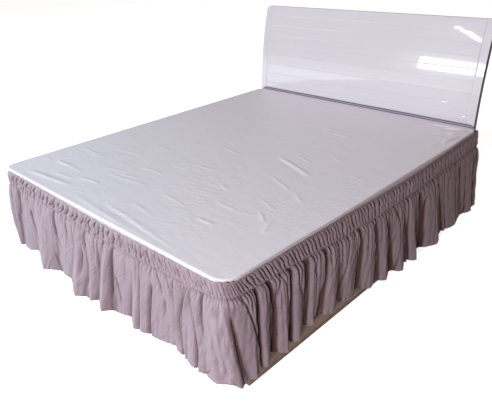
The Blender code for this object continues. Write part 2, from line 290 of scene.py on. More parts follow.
# %% [markdown]
# ## Sizes
# The solids were made from named sizes and short tables. The dressed cloth uses the same
# ones, so its folds lie on the solid's folds. Everything that follows the bed's side is
# placed by three numbers: `along`, the distance round the bed from the left foot corner;
# `out`, the distance outward from the bed's side; and `drop`, the distance down from the
# top of the bed.

# %% Sizes of the bed and of the skirt
BED_WIDTH = 1.600
BED_LENGTH = 2.000
BED_TOP = 0.500
CORNER_RADIUS = 0.060
RIGHT_FOOT_RADIUS = 0.078
LIP_RADIUS = 0.012
LIP_DRAWN_IN = 0.006
LIP_HEIGHT = 0.0085
SHEET_THICKNESS = 0.0015
SHEET_HEM_DROP = 0.160
HEADING_TOP_DROP = 0.028
HEADING_BOTTOM_DROP = 0.090
SEAT_GAP = 0.0003
SKIRT_TOP_DROP = HEADING_BOTTOM_DROP + SEAT_GAP
SHEET_WALL_OUT = -LIP_DRAWN_IN + SHEET_THICKNESS
HEADING_INNER_OUT = SHEET_WALL_OUT + SEAT_GAP
CLOTH_THICKNESS = 0.0018
BAND_THICKNESS = 0.0016
BAND_CLEAR = 0.0012
SEAM_GAP = 0.0006
HALF_WIDTH = BED_WIDTH / 2
HALF_LENGTH = BED_LENGTH / 2
print("bed", BED_WIDTH, "x", BED_LENGTH, "m, skirt hangs from", SKIRT_TOP_DROP, "m down")

# %% [markdown]
# ## Small tools
# Four short helpers do most of the shaping. `smooth` eases a change in and out, `bell`
# makes a soft bump, `read_off` looks a value up in a small table, and `place` bends the
# flat numbers round the bed's corners.

# %% Places round the bed
def smooth(share):
    """A smooth step from 0 to 1."""
    share = np.clip(share, 0.0, 1.0)
    return share * share * (3 - 2 * share)


def bell(away, width, power=2):
    """A soft bump: 1 where `away` is 0, nearly nothing from twice `width` on."""
    return np.exp(-np.abs(away / width) ** power)


def read_off(table, where):
    """The value in a table of places and values, evenly between its entries."""
    return np.interp(where, list(table), list(table.values()))


def place(along, out, drop):
    """Turn arrays of along, out and drop into points in the room."""
    along, out, drop = np.broadcast_arrays(along, out, drop)
    radius = CORNER_RADIUS
    side = np.where(along < radius, -1.0, np.where(along > BED_WIDTH - radius, 1.0, 0.0))
    past_corner = np.where(side < 0, -along, along - BED_WIDTH)
    x = np.where(side == 0, along - HALF_WIDTH, side * HALF_WIDTH)
    y = -HALF_LENGTH + np.where(side == 0, 0.0, past_corner)
    outward_x, outward_y = side, np.abs(side) - 1
    for corner, hand in ((0.0, -1), (BED_WIDTH, 1)):
        turned = np.abs(along - corner) < radius
        turn = math.pi / 4 * (1 + hand * (along - corner) / radius)
        lean_x, lean_y = hand * np.sin(turn), -np.cos(turn)
        x = np.where(turned, hand * (HALF_WIDTH - radius) + radius * lean_x, x)
        y = np.where(turned, -HALF_LENGTH + radius + radius * lean_y, y)
        outward_x = np.where(turned, lean_x, outward_x)
        outward_y = np.where(turned, lean_y, outward_y)
    return np.stack([x + outward_x * out, y + outward_y * out, BED_TOP - drop], axis=-1)


print("right foot corner at", place(BED_WIDTH, 0.0, 0.0).round(3))

# %% [markdown]
# ## Folds
# One row stands for each crest and each hollow of the hanging cloth. These are the same
# rows that shape the solid panels.

# %% Fold tables
#   top    where the cloth leaves the band, measured along the bed's side
#   hem    where it meets the hem, measured the same way
#   out    how far it stands out from the bed's side at the hem
#   drop   how far the hem is below the top of the bed there
#   belly  how much further out the cloth swells half way down
Fold = namedtuple("Fold", "top hem out drop belly", defaults=[0.0])

FOOT_FOLDS = [Fold(*row) for row in [
    (-0.070, -0.080, 0.014, 0.440, 0.010),
    (-0.025, -0.030, 0.024, 0.444, 0.026),
    (0.040, 0.015, 0.020, 0.442, 0.014),
    (0.140, 0.085, 0.012, 0.436),
    (0.215, 0.165, 0.020, 0.424),
    (0.290, 0.245, 0.012, 0.398),
    (0.395, 0.390, 0.068, 0.420),
    (0.500, 0.475, 0.020, 0.420),
    (0.580, 0.520, 0.024, 0.420),
    (0.690, 0.572, 0.022, 0.418),
    (0.730, 0.705, 0.083, 0.421),
    (0.755, 0.760, 0.050, 0.420),
    (0.810, 0.795, 0.054, 0.422),
    (0.890, 0.820, 0.030, 0.418),
    (0.925, 0.895, 0.068, 0.419),
    (0.955, 0.935, 0.028, 0.418),
    (1.020, 0.985, 0.022, 0.415),
    (1.105, 1.040, 0.012, 0.406),
    (1.140, 1.103, 0.048, 0.417),
    (1.210, 1.175, 0.026, 0.416),
    (1.260, 1.235, 0.020, 0.412),
    (1.370, 1.325, 0.012, 0.395),
    (1.395, 1.362, 0.026, 0.413),
    (1.420, 1.400, 0.020, 0.412),
    (1.440, 1.450, 0.045, 0.414),
    (1.485, 1.505, 0.026, 0.412),
    (1.515, 1.560, 0.036, 0.412),
    (1.560, 1.605, 0.034, 0.398),
    (1.585, 1.637, 0.056, 0.420),
    (1.605, 1.662, 0.030, 0.417),
]]

SIDE_FOLDS = [Fold(*row) for row in [
    (0.005, 0.062, 0.030, 0.417),
    (0.095, 0.082, 0.054, 0.416),
    (0.135, 0.118, 0.038, 0.414),
    (0.170, 0.157, 0.046, 0.415),
    (0.205, 0.210, 0.012, 0.404),
    (0.270, 0.262, 0.052, 0.414),
    (0.316, 0.300, 0.024, 0.412),
    (0.350, 0.342, 0.046, 0.413),
    (0.425, 0.403, 0.012, 0.405),
    (0.462, 0.437, 0.030, 0.412),
    (0.535, 0.510, 0.012, 0.408),
    (0.585, 0.573, 0.044, 0.411),
    (0.642, 0.640, 0.018, 0.413),
    (0.695, 0.704, 0.038, 0.420),
    (0.790, 0.788, 0.012, 0.424),
    (0.865, 0.850, 0.048, 0.435),
    (0.935, 0.930, 0.030, 0.442),
    (0.970, 0.967, 0.062, 0.447),
    (1.030, 1.035, 0.034, 0.449),
    (1.085, 1.097, 0.078, 0.451),
    (1.160, 1.160, 0.046, 0.448),
    (1.215, 1.227, 0.080, 0.451),
    (1.290, 1.290, 0.030, 0.448),
    (1.435, 1.440, 0.088, 0.451),
    (1.525, 1.545, 0.046, 0.449),
    (1.620, 1.690, 0.068, 0.451),
    (1.745, 1.810, 0.040, 0.449),
    (1.880, 1.905, 0.066, 0.451),
    (1.950, 1.950, 0.046, 0.450),
    (1.995, 1.993, 0.054, 0.450),
]]


def left_side_folds():
    """The left side's folds: like the right side's, each one uneven in its own way."""
    folds = []
    for index, fold in enumerate(SIDE_FOLDS):
        shift = 0.014 * math.sin(index * 1.9)
        fuller = 1 + 0.22 * math.sin(index * 2.7)
        folds.append(Fold(-fold.top - shift, -fold.hem - shift, max(fold.out * fuller, 0.012), fold.drop))
    folds[0] = FOOT_FOLDS[0]
    folds[-1] = folds[-1]._replace(top=-SIDE_FOLDS[-1].top, hem=-SIDE_FOLDS[-1].hem)
    return folds[::-1]


RIGHT_FOLDS = [f._replace(top=BED_WIDTH + f.top, hem=BED_WIDTH + f.hem) for f in SIDE_FOLDS]
LEFT_FOLDS = left_side_folds()
print(len(FOOT_FOLDS), "rows at the foot,", len(SIDE_FOLDS), "on each side")

# %% [markdown]
# ## Creases
# Between the big folds the cloth breaks into sharper creases. Each is a soft trough, or
# with a minus depth a soft ridge, that runs down a bent line through three places. The
# width on its two sides differs, because cloth falls over one edge of a crease and slides
# away from the other.

# %% Crease table
#   a, a_drop   where the crease starts, as along and drop
#   b, b_drop   a place on its way
#   c, c_drop   where it ends
#   left, right how wide it is on either side of its line
#   depth       how deep it presses in; a minus depth stands out
Crease = namedtuple("Crease", "a a_drop b b_drop c c_drop left right depth")

FOOT_CREASES = [Crease(*row) for row in [
    (0.142, 0.10, 0.115, 0.220, 0.074, 0.42, 0.030, 0.030, 0.016),
    (0.235, 0.10, 0.237, 0.132, 0.227, 0.18, 0.010, 0.016, 0.006),
    (0.246, 0.15, 0.257, 0.257, 0.333, 0.37, 0.007, 0.022, 0.010),
    (0.420, 0.18, 0.426, 0.234, 0.428, 0.27, 0.008, 0.020, 0.006),
    (0.386, 0.25, 0.417, 0.296, 0.433, 0.33, 0.008, 0.012, 0.004),
    (0.491, 0.09, 0.485, 0.182, 0.526, 0.29, 0.016, 0.014, 0.012),
    (0.462, 0.31, 0.472, 0.375, 0.491, 0.42, 0.007, 0.016, 0.008),
    (0.570, 0.10, 0.571, 0.136, 0.585, 0.18, 0.008, 0.012, 0.006),
    (0.590, 0.10, 0.593, 0.158, 0.580, 0.25, 0.010, 0.016, 0.008),
    (0.709, 0.10, 0.734, 0.204, 0.717, 0.35, 0.036, 0.022, 0.016),
    (0.742, 0.10, 0.770, 0.196, 0.765, 0.38, 0.018, 0.014, 0.012),
    (0.801, 0.12, 0.816, 0.172, 0.814, 0.24, 0.010, 0.014, 0.004),
    (0.778, 0.39, 0.814, 0.358, 0.842, 0.33, 0.006, 0.012, 0.004),
    (0.890, 0.10, 0.873, 0.157, 0.825, 0.30, 0.026, 0.024, 0.005),
    (0.954, 0.10, 0.945, 0.207, 0.934, 0.37, 0.014, 0.020, 0.012),
    (0.959, 0.21, 0.978, 0.287, 0.991, 0.39, 0.008, 0.014, 0.007),
    (1.044, 0.11, 1.034, 0.187, 1.020, 0.28, 0.012, 0.018, 0.004),
    (1.136, 0.10, 1.133, 0.219, 1.121, 0.40, 0.028, 0.020, 0.015),
    (1.158, 0.10, 1.168, 0.115, 1.168, 0.15, 0.007, 0.012, 0.005),
    (1.217, 0.15, 1.195, 0.260, 1.179, 0.42, 0.018, 0.014, 0.011),
    (1.235, 0.10, 1.256, 0.137, 1.272, 0.21, 0.010, 0.020, 0.009),
    (1.290, 0.18, 1.281, 0.229, 1.278, 0.30, 0.030, 0.030, 0.007),
    (1.294, 0.10, 1.313, 0.132, 1.331, 0.20, 0.008, 0.014, 0.011),
    (1.402, 0.10, 1.379, 0.200, 1.379, 0.42, 0.040, 0.012, 0.022),
    (1.428, 0.11, 1.448, 0.200, 1.462, 0.40, 0.044, 0.014, 0.024),
    (1.492, 0.08, 1.488, 0.150, 1.499, 0.26, 0.020, 0.012, 0.014),
    (1.497, 0.25, 1.477, 0.310, 1.470, 0.41, 0.014, 0.012, 0.005),
    (1.549, 0.355, 1.527, 0.385, 1.487, 0.43, 0.006, 0.010, 0.007),
    (1.556, 0.13, 1.585, 0.262, 1.612, 0.42, 0.034, 0.032, -0.010),
    (1.570, 0.16, 1.580, 0.252, 1.600, 0.39, 0.010, 0.010, 0.003),
]]

SIDE_CREASES = [Crease(*row) for row in [
    (0.011, 0.12, 0.026, 0.245, 0.039, 0.40, 0.015, 0.018, 0.016),
    (0.068, 0.09, 0.092, 0.161, 0.120, 0.31, 0.011, 0.011, 0.010),
    (0.137, 0.10, 0.135, 0.217, 0.138, 0.41, 0.018, 0.020, 0.024),
    (0.189, 0.07, 0.222, 0.189, 0.198, 0.41, 0.011, 0.024, 0.024),
    (0.270, 0.09, 0.253, 0.126, 0.229, 0.20, 0.011, 0.011, 0.014),
    (0.273, 0.09, 0.290, 0.150, 0.298, 0.24, 0.009, 0.009, 0.009),
    (0.299, 0.29, 0.258, 0.309, 0.243, 0.37, 0.007, 0.011, 0.008),
    (0.328, 0.09, 0.325, 0.160, 0.304, 0.41, 0.015, 0.020, 0.020),
    (0.361, 0.10, 0.367, 0.171, 0.401, 0.29, 0.009, 0.009, 0.012),
    (0.423, 0.10, 0.425, 0.256, 0.418, 0.41, 0.024, 0.033, 0.030),
    (0.466, 0.09, 0.471, 0.135, 0.484, 0.23, 0.009, 0.009, 0.012),
    (0.543, 0.10, 0.551, 0.244, 0.474, 0.41, 0.020, 0.022, 0.024),
    (0.569, 0.10, 0.577, 0.151, 0.581, 0.21, 0.009, 0.009, 0.011),
    (0.629, 0.10, 0.614, 0.177, 0.569, 0.24, 0.009, 0.011, 0.012),
    (0.652, 0.10, 0.659, 0.164, 0.663, 0.27, 0.010, 0.011, 0.015),
    (0.695, 0.10, 0.698, 0.215, 0.585, 0.41, 0.011, 0.015, 0.022),
    (0.746, 0.10, 0.739, 0.185, 0.703, 0.26, 0.009, 0.013, 0.016),
    (0.786, 0.10, 0.807, 0.249, 0.753, 0.42, 0.015, 0.024, 0.024),
    (0.861, 0.10, 0.855, 0.154, 0.853, 0.21, 0.009, 0.011, 0.011),
    (0.910, 0.13, 0.915, 0.225, 0.940, 0.32, 0.011, 0.013, 0.015),
    (0.988, 0.13, 1.028, 0.260, 1.046, 0.44, 0.011, 0.015, 0.020),
    (1.075, 0.10, 1.095, 0.188, 1.073, 0.42, 0.011, 0.015, 0.019),
    (1.066, 0.17, 1.053, 0.228, 1.040, 0.28, 0.007, 0.011, 0.007),
    (1.152, 0.17, 1.174, 0.284, 1.187, 0.43, 0.010, 0.013, 0.014),
    (1.215, 0.10, 1.191, 0.228, 1.191, 0.42, 0.011, 0.015, 0.019),
    (1.325, 0.13, 1.342, 0.259, 1.335, 0.44, 0.033, 0.033, 0.024),
    (1.419, 0.12, 1.381, 0.185, 1.358, 0.34, 0.009, 0.013, 0.014),
    (1.463, 0.10, 1.454, 0.184, 1.431, 0.39, 0.011, 0.011, 0.018),
    (1.502, 0.14, 1.533, 0.240, 1.565, 0.44, 0.011, 0.018, 0.020),
    (1.582, 0.10, 1.581, 0.239, 1.602, 0.42, 0.013, 0.013, 0.015),
    (1.652, 0.12, 1.622, 0.186, 1.626, 0.30, 0.011, 0.013, 0.008),
    (1.762, 0.13, 1.771, 0.217, 1.797, 0.36, 0.013, 0.015, 0.012),
    (1.833, 0.17, 1.844, 0.262, 1.848, 0.42, 0.013, 0.015, 0.011),
]]


def moved_creases(creases, start, direction, vary):
    """Lay a side's creases from `start`, one way or the other along the bed."""
    moved = []
    for index, crease in enumerate(creases):
        nudge = vary * math.sin(index * 2.3)
        sides = (crease.left, crease.right) if direction > 0 else (crease.right, crease.left)
        moved.append(Crease(
            start + direction * crease.a + nudge, crease.a_drop,
            start + direction * crease.b + nudge, crease.b_drop,
            start + direction * crease.c + nudge, crease.c_drop,
            *sides, crease.depth * (1 + 12 * nudge)))
    return moved


ALL_CREASES = FOOT_CREASES + moved_creases(SIDE_CREASES, BED_WIDTH, 1, 0.0)
ALL_CREASES += moved_creases(SIDE_CREASES[2:], 0.0, -1, 0.018)
print(len(ALL_CREASES), "creases round the bed")

# %% [markdown]
# ## Shirring
# Elastic drawn through a band puckers it: many narrow slits with a rounded pillow between
# each two. The slits are not evenly spaced, lean over where the band was pulled, and run
# on below the band until the big folds take them up. So the band and the panels share one
# rule for where the slits are.

# %% Where the slits are
#   along  distance round the bed
#   pitch  how far apart the slits are there
#   lean   how far a slit moves along between the band's top and its bottom
#   full   how deep the gathers are there, 1 being common
Shirr = namedtuple("Shirr", "along pitch lean full")

SHIRRING = [Shirr(*row) for row in [
    (-2.00, 0.028, 0.004, 0.9),
    (-1.20, 0.024, -0.014, 1.0),
    (-0.40, 0.032, -0.016, 0.9),
    (0.00, 0.036, -0.024, 1.0),
    (0.30, 0.037, -0.026, 1.1),
    (0.70, 0.036, -0.022, 1.1),
    (0.90, 0.035, -0.012, 1.1),
    (1.02, 0.032, 0.004, 0.9),
    (1.16, 0.024, 0.008, 0.9),
    (1.25, 0.021, 0.022, 0.9),
    (1.36, 0.021, 0.034, 0.9),
    (1.48, 0.021, 0.034, 0.9),
    (1.53, 0.021, 0.026, 0.5),
    (1.57, 0.017, 0.018, 0.25),
    (1.60, 0.013, 0.020, 0.5),
    (1.66, 0.015, 0.030, 0.9),
    (1.74, 0.020, 0.032, 1.1),
    (2.10, 0.022, 0.030, 1.1),
    (2.40, 0.025, 0.020, 1.3),
    (2.60, 0.027, 0.008, 1.6),
    (2.95, 0.030, 0.010, 1.6),
    (3.60, 0.034, 0.014, 1.5),
]]

# The band hangs in a slack line: lower in the middle of a side than at the corners.
#   along   distance round the bed
#   top     how far down its slits begin
#   stitch  how far down it is stitched to the panels
Band = namedtuple("Band", "along top stitch")

BAND_LINES = [Band(*row) for row in [
    (-2.00, 0.026, 0.092),
    (-1.00, 0.036, 0.104),
    (-0.30, 0.024, 0.084),
    (-0.06, 0.030, 0.082),
    (0.02, 0.028, 0.078),
    (0.10, 0.020, 0.077),
    (0.30, 0.025, 0.080),
    (0.50, 0.029, 0.085),
    (0.80, 0.033, 0.093),
    (0.95, 0.034, 0.097),
    (1.10, 0.030, 0.092),
    (1.30, 0.025, 0.082),
    (1.45, 0.020, 0.075),
    (1.60, 0.013, 0.065),
    (1.72, 0.018, 0.071),
    (1.92, 0.023, 0.081),
    (2.12, 0.029, 0.096),
    (2.32, 0.032, 0.110),
    (2.52, 0.041, 0.116),
    (2.84, 0.046, 0.117),
    (3.04, 0.042, 0.112),
    (3.24, 0.034, 0.102),
    (3.42, 0.022, 0.096),
    (3.60, 0.018, 0.090),
]]

# The slack fades out below the band over SLACK_REACH. The slits go on a little past both
# ends of the band, and wander most where they are WIDE_PITCH apart.
SLACK_REACH = 0.27
SLITS_PAST_END = 0.02
WIDE_PITCH = 0.036


def column(rows, name, along):
    """One column of a table with an `along` column, read off at `along`."""
    return np.interp(along, [row.along for row in rows], [getattr(row, name) for row in rows])


def band_share(drop):
    """How far down the band a drop is: 0 at its top, 1 at its bottom."""
    return (drop - HEADING_TOP_DROP) / (HEADING_BOTTOM_DROP - HEADING_TOP_DROP)


def slack(along, drop):
    """Let the band's two lines hang as the table says; the hem stays where it is."""
    top, stitch = column(BAND_LINES, "top", along), column(BAND_LINES, "stitch", along)
    down = band_share(drop)
    in_band = top + (stitch - top) * down
    above = top + drop - HEADING_TOP_DROP
    below = drop + (stitch - HEADING_BOTTOM_DROP) * (1 - smooth((drop - HEADING_BOTTOM_DROP) / SLACK_REACH))
    return np.where(down < 0, above, np.where(down > 1, below, in_band))


def slit_places():
    """The place of each slit round the bed; where the slits are far apart, they wander more."""
    places = [-BED_LENGTH - SLITS_PAST_END]
    while places[-1] < BED_WIDTH + BED_LENGTH + SLITS_PAST_END:
        index = len(places)
        pitch = float(column(SHIRRING, "pitch", places[-1]))
        wander = 1 + 0.40 * pitch / WIDE_PITCH * math.sin(index * 2.399) + 0.12 * math.sin(index * 0.71)
        places.append(places[-1] + pitch * wander)
    return np.array(places)


SLITS = slit_places()
SLIT_NUMBERS = np.arange(len(SLITS))
print(len(SLITS), "slits round the bed")

# %% [markdown]
# ## The shape of the band
# Across the band the cloth swells between two slits and dips sharply in each. A slit is
# a lens: deepest somewhere near the middle, closed at both ends, and never like the next
# one. Two elastic threads pinch the pillows as they run round, and at the bottom the band
# is sewn flat to the panels. The top edge must also clear the sheet's rolled lip.

# %% Slits and pillows
# Where the threads run, from 0 at the band's top to 1 at its bottom; how deep common
# gathers are; and how far out the sheet's lip is at each drop.
THREAD_ROWS = (0.16, 0.55)
FULL_DEPTH = 0.0125
LIP_OUT = {0.0: -0.012, 0.0012: -0.006, 0.0034: -0.0024, 0.0060: -0.0006, 0.0085: 0.0, 0.0112: -0.0006,
           0.0134: -0.0020, 0.0152: -0.0036, 0.0180: -0.0045}


def chance(number, salt):
    """A share between 0 and 1 that looks random but never changes."""
    value = np.sin(np.asarray(number) * 12.9898 + salt * 78.233) * 43758.5453
    return value - np.floor(value)


def slit_phase(along, drop):
    """Which slit a place is at: whole numbers are the slits themselves."""
    lean = column(SHIRRING, "lean", along) * (np.minimum(band_share(drop), 1.3) - 0.5)
    return np.interp(along - lean, SLITS, SLIT_NUMBERS)


def pillow(phase, along, down):
    """How far the gathered cloth swells, from 0 in a slit to 1 between two slits."""
    slit = np.rint(phase)
    beside = np.abs(phase - slit)
    pitch = column(SHIRRING, "pitch", along)
    half = 0.0036 + 0.07 * pitch * (0.6 + 0.8 * chance(slit, 5))
    middle = 0.34 + 0.34 * chance(slit, 11)
    reach = 0.32 + 0.40 * chance(slit, 12)
    lens = 0.35 + 0.95 * bell(down - middle, reach, 3)
    deep = np.minimum((0.39 + 0.91 * chance(slit, 1)) * lens, 1.05)
    tall = np.interp(phase, SLIT_NUMBERS, 0.50 + 0.50 * chance(SLIT_NUMBERS, 2))
    return (0.70 + 0.30 * np.sin(math.pi * beside) - 0.95 * deep * bell(beside * pitch, half, 1.6)) * tall


def band_out(phase, along, down):
    """How far out the band's cloth is, `down` from 0 at its top to 1 at its stitching."""
    full = FULL_DEPTH * column(SHIRRING, "full", along)
    swell = 0.10 + 0.90 * smooth((down + 0.08) / 0.22)
    for thread in THREAD_ROWS:
        swell = swell * (1 - 0.26 * bell(down - thread, 0.045))
    small = 0.0013 * np.sin(phase * 13.1 + down * 5.0) * np.sin(phase * 2.3 + 1.0 + down * 3.0)
    sewn = 0.85 * bell(down - 0.96, 0.055)
    high = full * swell * pillow(phase, along, down) * (1 - sewn) + full * 0.62 * sewn
    return HEADING_INNER_OUT + BAND_CLEAR + np.maximum(high + small, 0.0)


between_two = float(band_out(10.5, SLITS[10], 0.3))
print("between two slits the band is", round(between_two * 1000, 1), "mm out from the bed's side")

# %% [markdown]
# ## The hanging cloth
# The surface is a grid of points. The folds give it its big shape, each row of the grid
# easing from hollow to crest; then the creases are pressed in, and the gathers that leave
# the band fade as they go down. A crease may press the cloth back only as far as the bed
# behind it. The foot and the right side were not gathered alike, so some sizes change
# between 1.5 and 1.7 m round the bed: those are small tables of places and values.

# %% The shape of a panel
SIDE_SPACING = 0.0026
FOOT_SPACING = 0.0022
GATHER_DEPTH = 0.005
STITCH_PITCH = 0.0125
PANEL_DOWNS = np.concatenate([np.linspace(0, 0.16, 13)[:-1], np.linspace(0.16, 0.94, 31),
                              [0.952, 0.961, 0.969, 0.978, 0.989, 1.0]])
PUFF_UNDER_BAND = {1.55: 0.006, 1.65: 0.012}
RUMPLE_HEIGHT = {1.55: 0.0011, 1.70: 0.0024}
GATHER_REACH = {1.40: 1.0, 1.50: 0.4, 1.66: 0.4, 1.76: 1.0, 1.90: 2.2}
SEAM_GROOVE = {1.55: 0.0014, 1.65: 0.0030}
# A crease that starts above NEAR_BAND or ends below NEAR_HEM runs out there at full depth.
NEAR_BAND = 0.115
NEAR_HEM = 0.395
# From this drop on, the base is behind the cloth, and keeps it that far out.
BASE_FROM_DROP = 0.232
BASE_CLEAR = 0.0035


def panel_grid(folds, start_trim, end_trim, spacing):
    """Arrays of along, out and drop over one panel, by the folds alone."""
    rows = []
    for down in PANEL_DOWNS:
        knots = []
        for index, fold in enumerate(folds):
            beside = folds[index - 1] if index else folds[1]
            start = 0.001 + (GATHER_DEPTH / 2 if fold.out > beside.out else 0)
            out = start + (fold.out - start) * down ** 0.75 + fold.belly * math.sin(math.pi * down)
            along = fold.top + (fold.hem - fold.top) * down
            knots.append(np.array([along, out, SKIRT_TOP_DROP + (fold.drop - SKIRT_TOP_DROP) * down]))
        row = []
        for fold, following, here, after in zip(folds, folds[1:], knots, knots[1:]):
            width = max(following.hem - fold.hem, following.top - fold.top)
            steps = max(4, round(width / spacing))
            share = np.arange(steps) / steps
            eased = 0.65 * share + 0.35 * (1 - np.cos(math.pi * share)) / 2
            row.append(here + (after - here) * np.stack([share, eased, eased], axis=1))
        row = np.concatenate([*row, knots[-1:]])
        row[0, 0] += start_trim
        row[-1, 0] -= end_trim
        rows.append(row)
    return np.moveaxis(np.array(rows), 2, 0).copy()


def press_creases(along, out, drop):
    """Press each crease of the table into the cloth."""
    for crease in ALL_CREASES:
        drops = [crease.a_drop, crease.b_drop, crease.c_drop]
        low, high = min(drops), max(drops)
        bent = np.polyfit(drops, [crease.a, crease.b, crease.c], 2)
        beside = along - np.polyval(bent, np.maximum(drop, low))
        near = np.clip(1 - np.abs(beside) / np.where(beside < 0, crease.left, crease.right), 0, 1)
        shape = near ** 1.5 if crease.depth > 0 else smooth(near)
        start = 1.0 if low < NEAR_BAND else smooth((drop - low) / 0.04)
        end = 1.0 if high > NEAR_HEM else smooth((high - drop) / 0.06)
        out = out - crease.depth * shape * start * end
    return out


def rumples(along, drop, below):
    """Small soft waves all over the cloth, that lean both ways and come and go."""
    patchy = np.sin(math.tau * (along - 0.22 * drop) / 0.093 + 1.7 * np.sin(13 * drop + 3 * along))
    waves = np.sin(math.tau * (along + 0.30 * drop) / 0.041 + 2.6 * np.sin(7.3 * along + 5 * drop))
    return read_off(RUMPLE_HEIGHT, along) * waves * patchy * smooth(below / 0.05)


def gathers(along, phase, below):
    """The troughs that leave the band's slits, each with its own depth and reach."""
    slit = np.rint(phase)
    away = np.abs(phase - slit) * column(SHIRRING, "pitch", along)
    reach = (0.025 + 0.16 * chance(slit, 3) ** 3) * read_off(GATHER_REACH, along)
    deep = (0.004 + 0.007 * chance(slit, 1)) * bell(below, reach)
    return deep * bell(away, 0.0045 + 0.02 * below, 1.4) * column(SHIRRING, "full", along)


def sewn_edge(along, below):
    """Under the band: fine puckers between the stitches, and the groove of the seam."""
    puckers = np.sin(math.tau * along / STITCH_PITCH + 2.2 * np.sin(along * 47)) * bell(below, 0.02)
    groove = read_off(SEAM_GROOVE, along) * bell(below - 0.007, 0.005)
    return 0.0022 * puckers * smooth(below / 0.006) - groove


def hem_shape(along, above_hem):
    """The hem: its double cloth, the line it is stitched along, and small curls."""
    stitched = 0.0006 * (above_hem < 0.013) - 0.0009 * bell(above_hem - 0.015, 0.0026)
    return stitched + 0.0011 * np.sin(along * 260 + 2 * np.sin(along * 31)) * bell(above_hem, 0.02)


def hanging_cloth(folds, start_trim, end_trim, spacing):
    """The full shape of one panel: folds, creases, gathers, seam and hem."""
    along, out, even_drop = panel_grid(folds, start_trim, end_trim, spacing)
    below = even_drop - SKIRT_TOP_DROP
    phase = slit_phase(along, even_drop)
    drop = slack(along, even_drop)
    out = out + read_off(PUFF_UNDER_BAND, along) * smooth(below / 0.03) * bell(below, 0.16)
    out = press_creases(along, out + rumples(along, even_drop, below), drop)
    out = out - gathers(along, phase, below) + sewn_edge(along, below)
    free = smooth(below / 0.012)
    out = out * free + band_out(phase, along, 1.0) * (1 - free)
    out = out + hem_shape(along, drop.max(axis=0, keepdims=True) - drop)
    behind = np.where(drop > BASE_FROM_DROP, BASE_CLEAR, HEADING_INNER_OUT + BAND_CLEAR)
    return along, np.maximum(out, behind), drop


print("right panel grid:", hanging_cloth(RIGHT_FOLDS, 0, 0, SIDE_SPACING)[0].shape)

# %% [markdown]
# ## From points to a piece
# Each cloth starts as a sheet without thickness, made from its grid of points. A map
# measured along the cloth goes with it, for the weave, and a Solidify modifier gives it
# its thickness. The helpers here serve the other pieces too: each gets a finish, a slot
# and a body, and takes its solid's place.

# %% From a grid to a piece of cloth
def add_object(name, mesh):
    """Put a mesh in the scene as a new object."""
    obj = bpy.data.objects.new(name, mesh)
    bpy.context.collection.objects.link(obj)
    return obj


def select_only(obj):
    """Select one object and make it the active one, as Blender's operators expect."""
    bpy.ops.object.select_all(action="DESELECT")
    bpy.context.view_layer.objects.active = obj
    obj.select_set(True)


def finish_piece(obj, finish, node):
    """Give a new piece its finish, its slot and its body, and its solid's place."""
    obj.data.materials.clear()
    obj.data.materials.append(finish.material)
    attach(obj, "root")
    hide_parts(node)


def walked(line):
    """How far each point of a line is from the first one, measured along the line."""
    return np.concatenate([[0.0], np.cumsum(np.linalg.norm(np.diff(line, axis=0), axis=1))])


def cloth_from_grid(name, points, thickness, painted_shade=None):
    """Make a piece of cloth from a grid of points, with a map measured along it."""
    rows, columns = points.shape[:2]
    index = np.arange(rows * columns).reshape(rows, columns)
    corners = [index[:-1, :-1], index[1:, :-1], index[1:, 1:], index[:-1, 1:]]
    faces = np.stack([corner.ravel() for corner in corners], axis=1)
    mesh = bpy.data.meshes.new(name)
    mesh.from_pydata(points.reshape(-1, 3).tolist(), [], faces.tolist())
    row_of, column_of = np.divmod(faces.ravel(), columns)
    on_cloth = np.stack([walked(points[-1])[column_of], walked(points[:, 0])[row_of]], axis=1)
    mesh.uv_layers.new(name="cloth").uv.foreach_set("vector", on_cloth.astype(np.float32).ravel())
    # The painted shade is stored on each point, for the finish to read.
    if painted_shade is not None:
        numbers = mesh.attributes.new("painted_shade", "FLOAT", "POINT").data
        numbers.foreach_set("value", painted_shade.astype(np.float32).ravel())
    mesh.shade_smooth()
    obj = add_object(name, mesh)
    select_only(obj)
    thick = obj.modifiers.new("thickness", "SOLIDIFY")
    thick.thickness = thickness
    thick.offset = 0.0
    bpy.ops.object.modifier_apply(modifier=thick.name)
    return obj


def flat_size(points):
    """The width and length that this cloth was cut to, from the grid's own lengths."""
    widths = np.linalg.norm(np.diff(points, axis=1), axis=2).sum(axis=1)
    lengths = np.linalg.norm(np.diff(points, axis=0), axis=2).sum(axis=0)
    return float(np.median(widths)), float(np.median(lengths))


print("a straight metre of cloth measures", walked(np.array([[0.0, 0.0], [1.0, 0.0]]))[-1], "m")

# %% [markdown]
# ## Painted shade in the hollows
# The hollows are painted dark: painted shade for the light that is lost between two folds.
# A point's hollow is how far it lies behind the mean of its neighbours in the same row.
# The painted shade shows most on the long sides, which are in half shade, and least at
# the foot. A small even amount of painted shade is added to it, more in some places.

# %% How deep the hollows are
# For places round the bed: how strongly the painted shade in the hollows shows, how much
# even painted shade is added, and how dark the seam under the band is painted.
SHADING = {-0.05: 0.85, 0.05: 0.50, 0.60: 0.55, 1.57: 0.72, 1.63: 1.08, 2.50: 1.14, 3.10: 1.35}
EVEN_PAINTED_SHADE = {-0.05: 0.10, 0.40: 0.02, 0.80: 0.10, 1.20: 0.16, 1.50: 0.20, 1.60: 0.08, 2.00: 0.09, 2.50: 0.12,
          3.20: 0.20}
SEAM_SHADE = {1.55: 0.22, 1.65: 0.62}


def hollows(out, reach, depth):
    """How deep each point of a grid lies behind its neighbours, from 0 to 1."""
    padded = np.pad(out, ((0, 0), (reach, reach)), mode="edge")
    summed = np.cumsum(np.pad(padded, ((0, 0), (1, 0))), axis=1)
    mean = (summed[:, 2 * reach + 1:] - summed[:, :-2 * reach - 1]) / (2 * reach + 1)
    return np.clip((mean - out) / depth, 0.0, 1.0)


